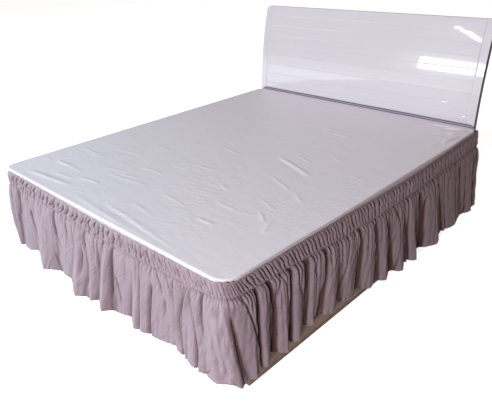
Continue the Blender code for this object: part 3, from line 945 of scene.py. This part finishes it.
print("the hollows show most at", max(SHADING, key=SHADING.get), "m round the bed")

# %% [markdown]
# ## The three skirt panels
# A maker cuts each panel longer than the side it covers and gathers it on the band. The
# panels meet in narrow seams just beside the foot corners. Each was cut a little longer
# than it hangs, for the hem that is turned up.

# %% Skirt panels
HEM_TURN = 0.02
PANELS = [
    ("skirt_left", LEFT_FOLDS, 0.0, SEAM_GAP / 2, SIDE_SPACING),
    ("skirt_foot", FOOT_FOLDS, SEAM_GAP / 2, SEAM_GAP / 2, FOOT_SPACING),
    ("skirt_right", RIGHT_FOLDS, SEAM_GAP / 2, 0.0, SIDE_SPACING),
]
for node, folds, start_trim, end_trim, spacing in PANELS:
    along, out, drop = hanging_cloth(folds, start_trim, end_trim, spacing)
    points = place(along, out, drop)
    # Painted shade: darker in the hollows, along the seam under the band, and evenly by place.
    painted_shade = np.maximum(0.82 * hollows(out, 6, 0.0048), 0.96 * hollows(out, 30, 0.0080))
    painted_seam_shade = read_off(SEAM_SHADE, along) * bell(drop - drop[:1] - 0.004, 0.006)
    painted_shade = np.maximum(painted_shade * read_off(SHADING, along), painted_seam_shade) + read_off(EVEN_PAINTED_SHADE, along)
    panel = cloth_from_grid(node + "_cloth", points, CLOTH_THICKNESS, painted_shade)
    finish_piece(panel, skirt_cloth, node)
    width, length = flat_size(points)
    length += HEM_TURN
    print(panel.name, len(panel.data.polygons), "faces, cut", round(width, 2), "x", round(length, 2))

# %% [markdown]
# ## The shirred band
# The heading is one strip of the same cloth, drawn up on elastic. Two elastic threads
# pinch it on its way round, its bottom is sewn to the panels, and a narrow rolled edge
# finishes the top. Its grid has a column beside each slit, so the slits stay sharp.

# %% Heading
BAND_DOWNS = np.array([-0.13, -0.12, -0.10, -0.05, 0.01, 0.07, 0.14, 0.20, 0.28, 0.36, 0.45, 0.52, 0.59, 0.68,
                       0.78, 0.87, 0.93, 0.97, 1.0])
BETWEEN_SLITS = np.array([0.0, 0.05, 0.11, 0.19, 0.30, 0.42, 0.58, 0.70, 0.81, 0.89, 0.95])
BAND_END = 0.004


def heading_grid():
    """The band's points, from the head end of the left side round to the right one."""
    phases = (SLIT_NUMBERS[:-1, None] + BETWEEN_SLITS).ravel()
    starts = np.interp(phases, SLIT_NUMBERS, SLITS)
    keep = (starts > BAND_END - BED_LENGTH) & (starts < BED_WIDTH + BED_LENGTH - BAND_END)
    phase = np.tile(phases[keep], (len(BAND_DOWNS), 1))
    start, down = np.meshgrid(starts[keep], BAND_DOWNS)
    turns = 0.30 * column(SHIRRING, "pitch", SLITS) * (2 * chance(SLIT_NUMBERS, 7) - 1)
    curl = np.interp(phase, SLIT_NUMBERS, turns)
    sway = curl * np.sin(math.pi * np.clip(down, 0, 1) * 1.6) * (1 - smooth((down - 0.8) / 0.2))
    along = start + column(SHIRRING, "lean", start) * (down - 0.5) + sway
    along[:, 0], along[:, -1] = -BED_LENGTH, BED_WIDTH + BED_LENGTH
    rolled = 0.0008 * bell(down + 0.11, 0.02)
    wavy = 0.0016 * np.sin(phase * 2.7) * smooth((0.3 - down) / 0.4)
    drop = slack(along, HEADING_TOP_DROP + (HEADING_BOTTOM_DROP - HEADING_TOP_DROP) * down) + wavy
    drop = np.maximum(drop, 0.004 + 0.003 * (down + 0.13))
    out = np.maximum(band_out(phase, start, down) + rolled, read_off(LIP_OUT, drop) + BAND_CLEAR)
    return along, out, drop


along, out, drop = heading_grid()
points = place(along, out, drop)
# Painted shade: the band's slits are painted darker, with the same even painted shade by place.
painted_shade = 1.2 * hollows(out, 5, 0.0030) * read_off(SHADING, along) + read_off(EVEN_PAINTED_SHADE, along)
heading = cloth_from_grid("skirt_heading_band", points, BAND_THICKNESS, painted_shade)
finish_piece(heading, skirt_cloth, "skirt_heading")
width, length = flat_size(points)
print(heading.name, len(heading.data.polygons), "faces, cut", round(width, 2), "x", round(length, 3))

# %% [markdown]
# ## The fitted sheet
# A smooth satin-faced sheet is drawn tight over the mattress. It rolls over the edge in a
# narrow lip, which catches the light, and is tucked in under the band. The tight cloth
# still has small wrinkles: a few short bright ones, and long ones beside the foot edge.

# %% Sheet wrinkles
#   x1, y1, x2, y2  both ends of a wrinkle, from the left edge and the foot edge
#   width           half its width
#   height          how high it stands; a minus height presses in
#   bow             how far its middle bends sideways
Wrinkle = namedtuple("Wrinkle", "x1 y1 x2 y2 width height bow", defaults=[0.0])

WRINKLES = [Wrinkle(*row) for row in [
    (0.140, 0.222, 0.290, 0.222, 0.0086, 0.0028),
    (0.190, 0.235, 0.420, 0.215, 0.0072, 0.0012),
    (0.130, 0.055, 0.520, 0.100, 0.0115, 0.0030),
    (0.160, 0.090, 0.560, 0.135, 0.0086, -0.0022),
    (0.280, 0.130, 0.440, 0.150, 0.0079, 0.0016),
    (0.440, 0.165, 0.590, 0.195, 0.0072, 0.0030, 0.010),
    (0.470, 0.185, 0.580, 0.215, 0.0062, -0.0016),
    (0.480, 0.290, 0.820, 0.330, 0.0072, 0.0014),
    (0.430, 0.330, 0.560, 0.360, 0.0062, 0.0012),
    (0.560, 0.440, 0.760, 0.450, 0.0072, 0.0016, 0.012),
    (0.650, 0.560, 0.820, 0.580, 0.0065, 0.0014),
    (0.760, 0.640, 0.900, 0.650, 0.0065, 0.0016),
    (0.560, 0.330, 0.670, 0.350, 0.0072, 0.0018),
    (1.174, 0.258, 1.290, 0.264, 0.0065, 0.0024),
    (1.130, 0.275, 1.240, 0.285, 0.0062, -0.0014),
    (1.120, 0.420, 1.280, 0.400, 0.0065, 0.0014),
    (1.330, 0.470, 1.420, 0.400, 0.0065, 0.0018),
    (1.430, 0.420, 1.470, 0.330, 0.0062, 0.0015),
    (1.250, 0.560, 1.400, 0.500, 0.0065, 0.0013),
    (0.901, 1.455, 1.142, 1.446, 0.0086, 0.0030),
    (0.880, 1.500, 1.060, 1.500, 0.0072, 0.0018),
    (0.831, 1.138, 0.930, 1.215, 0.0072, 0.0018),
    (0.985, 0.990, 1.307, 0.873, 0.0094, 0.0032),
    (1.010, 0.960, 1.290, 0.840, 0.0072, -0.0022),
    (1.060, 1.060, 1.200, 1.010, 0.0072, 0.0016),
    (1.110, 0.780, 1.330, 0.690, 0.0079, 0.0014),
    (0.700, 0.900, 0.840, 0.880, 0.0072, 0.0014),
    (0.560, 1.000, 0.720, 0.990, 0.0072, 0.0010),
    (0.560, 0.060, 1.060, 0.022, 0.0101, 0.0013),
    (0.700, 0.085, 1.300, 0.030, 0.0094, -0.0011),
    (0.740, 0.100, 1.180, 0.065, 0.0086, 0.0011),
    (0.945, 0.075, 1.330, 0.040, 0.0072, 0.0010),
    (0.150, 0.030, 0.760, 0.024, 0.0072, -0.0012),
    (1.380, 0.030, 1.500, 0.110, 0.0072, -0.0007),
    (1.540, 0.250, 1.540, 0.800, 0.0158, -0.0030),
    (1.560, 1.965, 1.440, 1.905, 0.0100, 0.0070, 0.010),
    (1.530, 1.975, 1.330, 1.935, 0.0090, 0.0048, 0.014),
    (1.578, 1.930, 1.520, 1.790, 0.0110, 0.0072, -0.010),
    (1.545, 1.880, 1.450, 1.770, 0.0090, 0.0050, -0.012),
    (1.582, 1.850, 1.550, 1.640, 0.0090, 0.0056, -0.006),
    (1.566, 1.780, 1.520, 1.560, 0.0080, 0.0032, -0.010),
    (0.030, 1.950, 0.110, 1.780, 0.0080, 0.0022, 0.012),
    (0.060, 1.970, 0.200, 1.900, 0.0070, 0.0016, 0.010),
    (0.060, 0.420, 0.330, 0.400, 0.0070, 0.0012),
    (0.240, 0.520, 0.470, 0.560, 0.0064, 0.0012),
    (0.330, 0.700, 0.520, 0.690, 0.0064, 0.0010),
    (0.900, 0.320, 1.080, 0.300, 0.0064, 0.0013),
    (0.860, 0.180, 1.060, 0.150, 0.0070, 0.0012),
    (1.000, 0.560, 1.120, 0.520, 0.0064, 0.0012),
    (1.330, 0.700, 1.440, 0.620, 0.0064, 0.0014),
    (1.200, 1.160, 1.340, 1.100, 0.0064, 0.0012),
    (0.560, 1.330, 0.720, 1.320, 0.0064, 0.0008),
]]


def wrinkle_height(x, y):
    """How far the sheet stands above its flat top at x, y."""
    left, foot = x + HALF_WIDTH, y + HALF_LENGTH
    height = 0.0006 * np.sin(left * 5.1 + foot * 2.2) * np.sin(foot * 4.3 - left * 1.4)
    for w in WRINKLES:
        long = math.hypot(w.x2 - w.x1, w.y2 - w.y1)
        ahead_x, ahead_y = (w.x2 - w.x1) / long, (w.y2 - w.y1) / long
        share = ((left - w.x1) * ahead_x + (foot - w.y1) * ahead_y) / long
        beside = (foot - w.y1) * ahead_x - (left - w.x1) * ahead_y - 4 * w.bow * share * (1 - share)
        ends = smooth(share / 0.3) * smooth((1 - share) / 0.3)
        height = height + w.height * ends * bell(beside, w.width)
    return height


print(len(WRINKLES), "wrinkles on the sheet")

# %% [markdown]
# ## The sheet's edge
# The top is a fine grid with rounded corners. From its rim, rings of points go over the
# lip and down behind the band. Along the right side, past the foot corner, the sheet is
# drawn tighter, so its lip is squarer there, and in the middle of that side the lip
# stands out further, since the mattress bulges. The satin's colour is painted silvery at
# the foot and left and rosier and a little darker towards the head and right: painted
# light, cool at the foot and warm at the head. Below the lip it is painted greyer and
# darker, as painted shade from the band.

# %% Fitted sheet
TOP_STEPS = (236, 292)
CORNER_STEPS = 8
DEEPEST_PRESS = 0.0003
LIP_TURNS = np.radians([12, 24, 36, 48, 60, 75, 90])
TUCK_DROPS = (0.0180, 0.050, 0.090, 0.130, SHEET_HEM_DROP)


def spaced(half, corner, middle_steps):
    """Grid lines from -half to half, with a line where the round corners begin."""
    ends = np.linspace(half - corner, half, CORNER_STEPS + 1)[1:]
    middle = np.linspace(corner - half, half - corner, middle_steps + 1)
    return np.concatenate([-ends[::-1], middle, ends])


def round_corner(x, y, half_x, half_y, corner):
    """Pull a square grid's corners in to quarter circles."""
    u = np.clip((np.abs(x) - half_x + corner) / corner, 0, None)
    v = np.clip((np.abs(y) - half_y + corner) / corner, 0, None)
    both = (u > 0) & (v > 0)
    new_x = np.sign(x) * (half_x - corner + corner * u * np.sqrt(1 - v * v / 2))
    new_y = np.sign(y) * (half_y - corner + corner * v * np.sqrt(1 - u * u / 2))
    return np.where(both, new_x, x), np.where(both, new_y, y)


def corner_radius(x, y):
    """The sheet is rounder at the right foot corner, where it is pulled the most."""
    return np.where((x > 0) & (y < 0), RIGHT_FOOT_RADIUS, CORNER_RADIUS)


def lip_profile(y, on_right):
    """The rings over the lip and down the tuck, as out and drop for each place of the rim."""
    tight = np.where(on_right, 0.35 + 0.65 * smooth((y + HALF_LENGTH - 0.20) / 0.35), 0.35)
    swell = 0.0065 * smooth((y + 0.65) / 0.3) * smooth((0.80 - y) / 0.12) * on_right
    profile = []
    for turn in LIP_TURNS:
        out = -LIP_RADIUS + (LIP_RADIUS + swell) * math.sin(turn) ** (1 - 0.55 * tight)
        profile.append((out, LIP_HEIGHT * (1 - math.cos(turn)) ** (1 + 0.5 * tight)))
    profile += [(-0.0006 + swell * 0.85, 0.0112), (-0.0020 + swell * 0.5, 0.0134), (-0.0036, 0.0152)]
    return profile + [(SHEET_WALL_OUT, drop) for drop in TUCK_DROPS]


def sheet_mesh(name):
    """A wrinkled top, then rings that roll over the lip and go down behind the band."""
    corner = CORNER_RADIUS - LIP_RADIUS
    half_x, half_y = HALF_WIDTH - LIP_RADIUS, HALF_LENGTH - LIP_RADIUS
    x, y = np.meshgrid(spaced(half_x, corner, TOP_STEPS[0]), spaced(half_y, corner, TOP_STEPS[1]))
    x, y = round_corner(x, y, half_x, half_y, corner_radius(x, y) - LIP_RADIUS)
    inside = np.minimum(half_x - np.abs(x), half_y - np.abs(y))
    z = BED_TOP + np.maximum(wrinkle_height(x, y), -DEEPEST_PRESS) * smooth(inside / 0.02)
    points = np.stack([x, y, z], axis=-1).reshape(-1, 3)
    index = np.arange(x.size).reshape(x.shape)
    corners = [index[:-1, :-1], index[:-1, 1:], index[1:, 1:], index[1:, :-1]]
    faces = np.stack([at_corner.ravel() for at_corner in corners], axis=1)
    rim = np.concatenate([index[0, :-1], index[:-1, -1], index[-1, :0:-1], index[:0:-1, 0]])
    edge = points[rim]
    corner = corner_radius(edge[:, 0], edge[:, 1]) - LIP_RADIUS
    core = np.stack([np.clip(edge[:, 0], corner - half_x, half_x - corner),
                     np.clip(edge[:, 1], corner - half_y, half_y - corner)], axis=1)
    outward = edge[:, :2] - core
    outward /= np.linalg.norm(outward, axis=1, keepdims=True)
    walk = walked(edge)
    ripples = 0.0006 * (np.sin(walk * 61 + 3 * np.sin(walk * 9)) - 1)
    rings = [rim]
    for out, drop in lip_profile(edge[:, 1], outward[:, 0] > 0.7):
        drop = np.broadcast_to(drop, len(rim))
        out = out + LIP_RADIUS + ripples * smooth(drop / 0.008) * (drop < 0.012)
        spots = np.column_stack([edge[:, :2] + outward * out[:, None], BED_TOP - drop])
        rings.append(np.arange(len(points), len(points) + len(rim)))
        points = np.concatenate([points, spots])
    for upper, lower in zip(rings, rings[1:]):
        side = np.stack([upper, lower, np.roll(lower, -1), np.roll(upper, -1)], axis=1)
        faces = np.concatenate([faces, side])
    mesh = bpy.data.meshes.new(name)
    mesh.from_pydata(points.tolist(), [], faces.tolist())
    mesh.shade_smooth()
    return add_object(name, mesh)


sheet_finish = Finish("satin_sheet", Sheen_Weight=0.08, Sheen_Roughness=0.3, Specular_IOR_Level=0.28)
spot = sheet_finish.place_on()
x_part, y_part, z_part = sheet_finish.parts(spot)
cloudy = sheet_finish.noise(spot, (2.2, 2.2, 2.2), detail=3.0)
threads = sheet_finish.noise(spot, (1100.0, 60.0, 60.0), detail=1.0)
pucker = sheet_finish.noise(spot, (10.0, 17.0, 14.0), detail=3.0, roughness=0.5, distortion=0.5)
turned = sheet_finish.at(x_part + y_part * 0.25, y_part - x_part * 0.25, z_part)
lines = sheet_finish.noise(turned, (4.5, 19.0, 19.0), detail=2.0, distortion=0.4).ridge(14.0)
patch = (sheet_finish.noise(turned, (2.6, 3.4, 3.4)) * 5 - 2.3).clamp()
sheet_finish.bump(threads * 0.02 + pucker + lines * patch * 0.6, 0.0014)
# Painted light: the colour runs from a cool silver at the foot and left to a warmer, darker rose at the head
# and right, with random cloudy tone on top.
drift = (y_part * 0.40 + x_part * 0.22 + 0.20 + cloudy * 0.30 + threads * 0.06).clamp()
satin = sheet_finish.mix(drift, (0.660, 0.668, 0.742), (0.705, 0.620, 0.680))
# Painted shade: below the lip the colour is painted greyer and darker, for the band's shade.
painted_shade_below_lip = ((BED_TOP - 0.0130 - z_part) * 300).clamp() * 0.7
sheet_finish.paint(Base_Color=sheet_finish.mix(painted_shade_below_lip, satin, (0.460, 0.450, 0.490)),
                   Roughness=0.40 + cloudy * 0.14)
sheet = sheet_mesh("fitted_sheet_satin")
finish_piece(sheet, sheet_finish, "fitted_sheet")
print(sheet.name, len(sheet.data.polygons), "faces")

# %% [markdown]
# ## The mattress
# Almost all of it is hidden, but it shows from underneath at the foot, where the base is
# set back. It is a firm padded block with a soft top edge and a woven ticking in fine
# stripes.

# %% Mattress
#   drawn_in  how far the wall is drawn in from the mattress's side
#   drop      how far down it is; the rows run from the bottom to the top
Wall = namedtuple("Wall", "drawn_in drop")

MATTRESS_WALL = [Wall(*row) for row in [
    (0.010, 0.2397), (0.003, 0.2380), (0.000, 0.2330), (-0.0012, 0.19), (-0.0012, 0.12),
    (0.000, 0.060), (0.0008, 0.013), (0.0040, 0.0052), (0.0100, 0.0022),
]]
MATTRESS_INSET = LIP_DRAWN_IN + 0.0020
STEPS_IN_CORNER = 8
STRIPE_PITCH = 0.036


def mattress_mesh(name):
    """A rounded block whose walls swell a little between its two edges."""
    block = bmesh.new()
    rings = []
    for wall in MATTRESS_WALL:
        inset = MATTRESS_INSET + wall.drawn_in
        ring = []
        for corner, (sign_x, sign_y) in enumerate([(1, 1), (-1, 1), (-1, -1), (1, -1)]):
            radius = float(corner_radius(sign_x, sign_y)) - inset
            middle_x = sign_x * (HALF_WIDTH - inset - radius)
            middle_y = sign_y * (HALF_LENGTH - inset - radius)
            for step in range(STEPS_IN_CORNER + 1):
                turn = math.pi / 2 * (corner + step / STEPS_IN_CORNER)
                ring.append(block.verts.new((middle_x + radius * math.cos(turn),
                                             middle_y + radius * math.sin(turn), BED_TOP - wall.drop)))
        rings.append(ring)
    for lower, upper in zip(rings, rings[1:]):
        for four in zip(lower, lower[1:] + lower[:1], upper[1:] + upper[:1], upper):
            block.faces.new(four)
    block.faces.new(rings[0][::-1])
    block.faces.new(rings[-1])
    mesh = bpy.data.meshes.new(name)
    block.to_mesh(mesh)
    block.free()
    return add_object(name, mesh)


ticking = Finish("striped_ticking", Sheen_Weight=0.1)
spot = ticking.place_on()
x_part, y_part = ticking.parts(spot)[:2]
stripe = ((x_part + y_part).wave(STRIPE_PITCH) * 6 - 4.6).clamp()
fibre = ticking.noise(spot, (240.0, 240.0, 240.0))
ticking.bump(fibre * 0.4 + stripe * 0.2, 0.001)
ticking.paint(Base_Color=ticking.mix(stripe * 0.8, (0.70, 0.69, 0.66), (0.42, 0.45, 0.52)),
              Roughness=0.82 + fibre * 0.1)
mattress = mattress_mesh("mattress_ticked")
select_only(mattress)
bpy.ops.object.shade_smooth_by_angle(angle=math.radians(50))
finish_piece(mattress, ticking, "mattress")
print(mattress.name, len(mattress.data.polygons), "faces")

# %% [markdown]
# ## The head strap
# A flat elastic joins the two ends of the band behind the head end. It is knitted with
# lengthwise ribs, stands a little above the sheet, and dips at both ends to meet the
# band. Its top edge and its lower part are painted near-black: painted shade for the
# gaps above and below it.

# %% Head strap
STRAP_RISE = 0.0155
STRAP_BOTTOM_DROP = 0.045
STRAP_THICKNESS = 0.0010
STRAP_RIBS = 9
STRAP_END_DIP = 0.024
RIB_HEIGHT = 0.0003


def strap_grid():
    """The strap's points: fine ribs along it, and a faint wave in its top edge."""
    end = HALF_WIDTH + 0.0020
    x, share = np.meshgrid(np.linspace(-end, end, 240), np.linspace(0, 1, 37))
    at_end = 1 - smooth((HALF_WIDTH - np.abs(x)) / 0.050)
    top = BED_TOP + STRAP_RISE - 0.0010 * (1 + np.sin(x * 11 + 1.3)) * 0.5 - STRAP_END_DIP * at_end
    z = top + (BED_TOP - STRAP_BOTTOM_DROP - top) * share
    y = HALF_LENGTH + SEAT_GAP + 0.0008 - RIB_HEIGHT * np.cos(share * math.tau * STRAP_RIBS)
    return np.stack([x, y, z], axis=-1)


elastic = Finish("ribbed_elastic", Sheen_Weight=0.2, Specular_IOR_Level=0.3)
spot = elastic.place_on("cloth")
across, down = elastic.parts(spot)[:2]
knit = across.wave(0.0030) * down.wave(0.0036)
worn = elastic.noise(spot, (30.0, 60.0, 1.0), detail=3.0)
elastic.bump(knit * 0.6 + worn * 0.2, 0.0006)
even = elastic.mix((worn * 0.6 + knit * 0.4).clamp(), (0.230, 0.205, 0.275), (0.330, 0.300, 0.385))
# Painted shade: a near-black band along the top edge, and all of the strap from a centimetre below it, for
# the gaps above and below.
painted_gap_shade = ((1.6 - down * 330).clamp() + ((down - 0.0075) * 400).clamp()).clamp()
elastic.paint(Base_Color=elastic.mix(painted_gap_shade, even, (0.070, 0.058, 0.085)), Roughness=0.72 + worn * 0.15)
strap = cloth_from_grid("head_strap_elastic", strap_grid(), STRAP_THICKNESS)
finish_piece(strap, elastic, "head_strap")
print(strap.name, len(strap.data.polygons), "faces")

# %% [markdown]
# ## The headboard
# It is one thin curved panel in pearl lacquer. Shallow V grooves are cut across it, and
# a deeper one runs down near each side. A cube is cut into bands, the lines of the
# grooves are pressed in, and then each row is moved back along the curve. Both ends of
# the panel are painted near-black as painted shade, and on the right the painted shade
# also reaches a little way round onto the front. The top edge is lacquered like the face.

# %% Headboard
HEADBOARD_HALF = 0.790
HEADBOARD_SHIFT = -0.010
HEADBOARD_RISE = 0.574
HEADBOARD_TOP = BED_TOP + HEADBOARD_RISE
HEADBOARD_LEAN = 0.075
HEADBOARD_THICKNESS = 0.018
HEADBOARD_BOTTOM = 0.080
HEADBOARD_CORNER = 0.030
HEADBOARD_ROUNDING = 0.0025
HEADBOARD_FRONT = HALF_LENGTH + 0.006
PAINTED_EDGE_WIDTH = 0.0070
GROOVE_DEPTH = 0.0007
GROOVE_HALF = 0.0024
CROSS_GROOVES = [0.554 + 0.0655 * step for step in range(8)]
SIDE_GROOVE_X = HEADBOARD_HALF - 0.050
SIDE_GROOVE_DEPTH = 0.0018
SIDE_GROOVE_HALF = 0.0046
NEAR = 1e-5


def start_block(name, low, high):
    """Add a cube, stretch it to fill a box, and open it for editing."""
    bpy.ops.object.select_all(action="DESELECT")
    bpy.ops.mesh.primitive_cube_add(size=1, location=[(a + b) / 2 for a, b in zip(low, high)])
    block = bpy.context.object
    block.name = name
    block.scale = [b - a for a, b in zip(low, high)]
    bpy.ops.object.transform_apply(location=True, rotation=False, scale=True)
    bpy.ops.object.mode_set(mode="EDIT")
    bpy.ops.mesh.select_all(action="SELECT")
    return block


def close_block(block, angle):
    """Leave edit mode, and smooth over what turns by less than `angle` degrees."""
    bmesh.update_edit_mesh(block.data)
    bpy.ops.object.mode_set(mode="OBJECT")
    bpy.ops.object.shade_smooth_by_angle(angle=math.radians(angle))
    return block


def choose(block, kind, wanted):
    """Select the edges or the faces of an open block that are `wanted`."""
    bpy.ops.mesh.select_all(action="DESELECT")
    bpy.ops.mesh.select_mode(type=kind)
    shape = bmesh.from_edit_mesh(block.data)
    for element in shape.edges if kind == "EDGE" else shape.faces:
        if wanted(element):
            element.select_set(True)
    bmesh.update_edit_mesh(block.data)


def cut(axis, *spots):
    """Cut an open block right through, across an axis (0 is x, 2 is z), at each spot."""
    for spot in spots:
        on_plane, facing = [0, 0, 0], [0, 0, 0]
        on_plane[axis], facing[axis] = spot, 1
        bpy.ops.mesh.select_all(action="SELECT")
        bpy.ops.mesh.bisect(plane_co=on_plane, plane_no=facing)


def is_top_corner(edge):
    """The short edges from front to back at the panel's two top corners."""
    one, two = edge.verts[0].co, edge.verts[1].co
    return abs(one.y - two.y) > 0.01 and min(one.z, two.z) > 1.0


def model_headboard():
    """Model the panel from a cube, in edit mode."""
    panel = start_block("headboard_panel", (-HEADBOARD_HALF, HEADBOARD_FRONT, HEADBOARD_BOTTOM),
                        (HEADBOARD_HALF, HEADBOARD_FRONT + HEADBOARD_THICKNESS, HEADBOARD_TOP))
    choose(panel, "EDGE", is_top_corner)
    bpy.ops.mesh.bevel(offset=HEADBOARD_CORNER, segments=10, profile=0.5, affect="EDGES")
    choose(panel, "FACE", lambda face: abs(face.normal.y) > 0.9)
    bpy.ops.mesh.bevel(offset=HEADBOARD_ROUNDING, segments=9, profile=0.5, affect="EDGES")
    cut(2, *np.linspace(BED_TOP, HEADBOARD_TOP, 24)[:-1])
    for height in CROSS_GROOVES:
        cut(2, height - GROOVE_HALF, height, height + GROOVE_HALF)
    for x in (-SIDE_GROOVE_X, SIDE_GROOVE_X):
        cut(0, x - SIDE_GROOVE_HALF, x, x + SIDE_GROOVE_HALF)
    # This cut marks where the painted shade on the right begins.
    cut(0, HEADBOARD_HALF - PAINTED_EDGE_WIDTH)
    shape = bmesh.from_edit_mesh(panel.data)
    for vert in shape.verts:
        spot = vert.co
        between_sides = abs(spot.x) < SIDE_GROOVE_X + 10 * NEAR
        on_cross = between_sides and any(abs(spot.z - height) < NEAR for height in CROSS_GROOVES)
        on_side = abs(abs(spot.x) - SIDE_GROOVE_X) < NEAR and spot.z > BED_TOP + 0.02
        if spot.y < HEADBOARD_FRONT + NEAR and (on_cross or on_side):
            spot.y += SIDE_GROOVE_DEPTH if on_side else GROOVE_DEPTH
        spot.y += HEADBOARD_LEAN * (max(spot.z - BED_TOP, 0.0) / HEADBOARD_RISE) ** 2
        spot.x += HEADBOARD_SHIFT
    return close_block(panel, 12)


lacquer = Finish("pearl_lacquer", Coat_Weight=0.9, Coat_Roughness=0.03, Coat_IOR=1.5, Specular_IOR_Level=0.5)
spot = lacquer.place_on()
streak = lacquer.noise(spot, (3.0, 3.0, 60.0), detail=4.0, roughness=0.55)
pearl = lacquer.noise(spot, (2.0, 2.0, 2.5), detail=2.0)
orange_peel = lacquer.noise(spot, (45.0, 45.0, 45.0), detail=1.0)
lacquer.bump(orange_peel * 0.5 + streak * 0.2, 0.0003)
shade = (pearl * 0.6 + streak * 0.4).clamp()
lacquer.paint(Base_Color=lacquer.mix(shade, (0.490, 0.480, 0.530), (0.540, 0.530, 0.580)),
              Roughness=0.16 + streak * 0.10)
# Painted shade: a near-black finish for both ends of the panel and a narrow strip of the front at the right,
# where the sides are in shade.
painted_shade_edging = Finish("painted_shade_edge_band", Specular_IOR_Level=0.4)
speck = painted_shade_edging.noise(painted_shade_edging.place_on(), (300.0, 300.0, 40.0), detail=2.0)
painted_shade_edging.paint(Base_Color=painted_shade_edging.mix(speck, (0.022, 0.021, 0.025), (0.050, 0.047, 0.055)),
             Roughness=0.4 + speck * 0.1)
headboard = model_headboard()
finish_piece(headboard, lacquer, "headboard")
headboard.data.materials.append(painted_shade_edging.material)
for face in headboard.data.polygons:
    beside = face.center.x - HEADBOARD_SHIFT
    at_left = beside < 0.0030 - HEADBOARD_HALF and face.normal.x < -0.12
    if at_left or beside > HEADBOARD_HALF - PAINTED_EDGE_WIDTH:
        face.material_index = 1
print(headboard.name, len(headboard.data.polygons), "faces")

# %% [markdown]
# ## The base
# The base is a plain veneered box. Its corners are rounded a little, a shadow line runs
# round it just above the floor, its lowest centimetre is painted near-black as a painted
# shadow where it meets the floor, and the grain runs along each board. It starts from a
# cube, with the same helpers as the headboard.

# %% Base
BASE_ROUNDING = 0.003
SHADOW_LINE = 0.016
SHADOW_LINE_HALF = 0.004
SHADOW_LINE_DEPTH = 0.003


def model_base():
    """Model the base from a cube: rounded corners, then a groove above the floor."""
    base = start_block("bed_base_boards", *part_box("bed_base"))
    bpy.ops.mesh.bevel(offset=BASE_ROUNDING, segments=3, profile=0.5, affect="EDGES")
    cut(2, SHADOW_LINE - SHADOW_LINE_HALF, SHADOW_LINE, SHADOW_LINE + SHADOW_LINE_HALF)
    shape = bmesh.from_edit_mesh(base.data)
    for vert in shape.verts:
        if abs(vert.co.z - SHADOW_LINE) < NEAR:
            vert.co.x -= math.copysign(SHADOW_LINE_DEPTH, vert.co.x)
            vert.co.y -= math.copysign(SHADOW_LINE_DEPTH, vert.co.y)
    return close_block(base, 35)


wood = Finish("brown_veneer", Specular_IOR_Level=0.4)
spot = wood.place_on()
z_part = wood.parts(spot)[2]
drift = wood.noise(spot, (1.4, 1.4, 6.0), detail=3.0)
rings = ((z_part * 22 + drift * 5).wave(1.0) * 0.6 + drift * 0.4).clamp()
pores = wood.noise(spot, (9.0, 9.0, 420.0), detail=3.0, roughness=0.7)
wood.bump(pores * 0.6 + rings * 0.2, 0.0008)
grain = wood.mix((rings * 0.6 + pores * 0.4).clamp(), (0.134, 0.090, 0.064), (0.245, 0.172, 0.130))
# Painted shadow: the lowest centimetre is painted near-black where the base meets the floor.
painted_floor_shadow = (1.8 - z_part * 160).clamp() * 0.85
wood.paint(Base_Color=wood.mix(painted_floor_shadow, grain, (0.030, 0.024, 0.020)), Roughness=0.42 + pores * 0.2)
base = model_base()
finish_piece(base, wood, "bed_base")
print(base.name, len(base.data.polygons), "faces")

# %% [markdown]
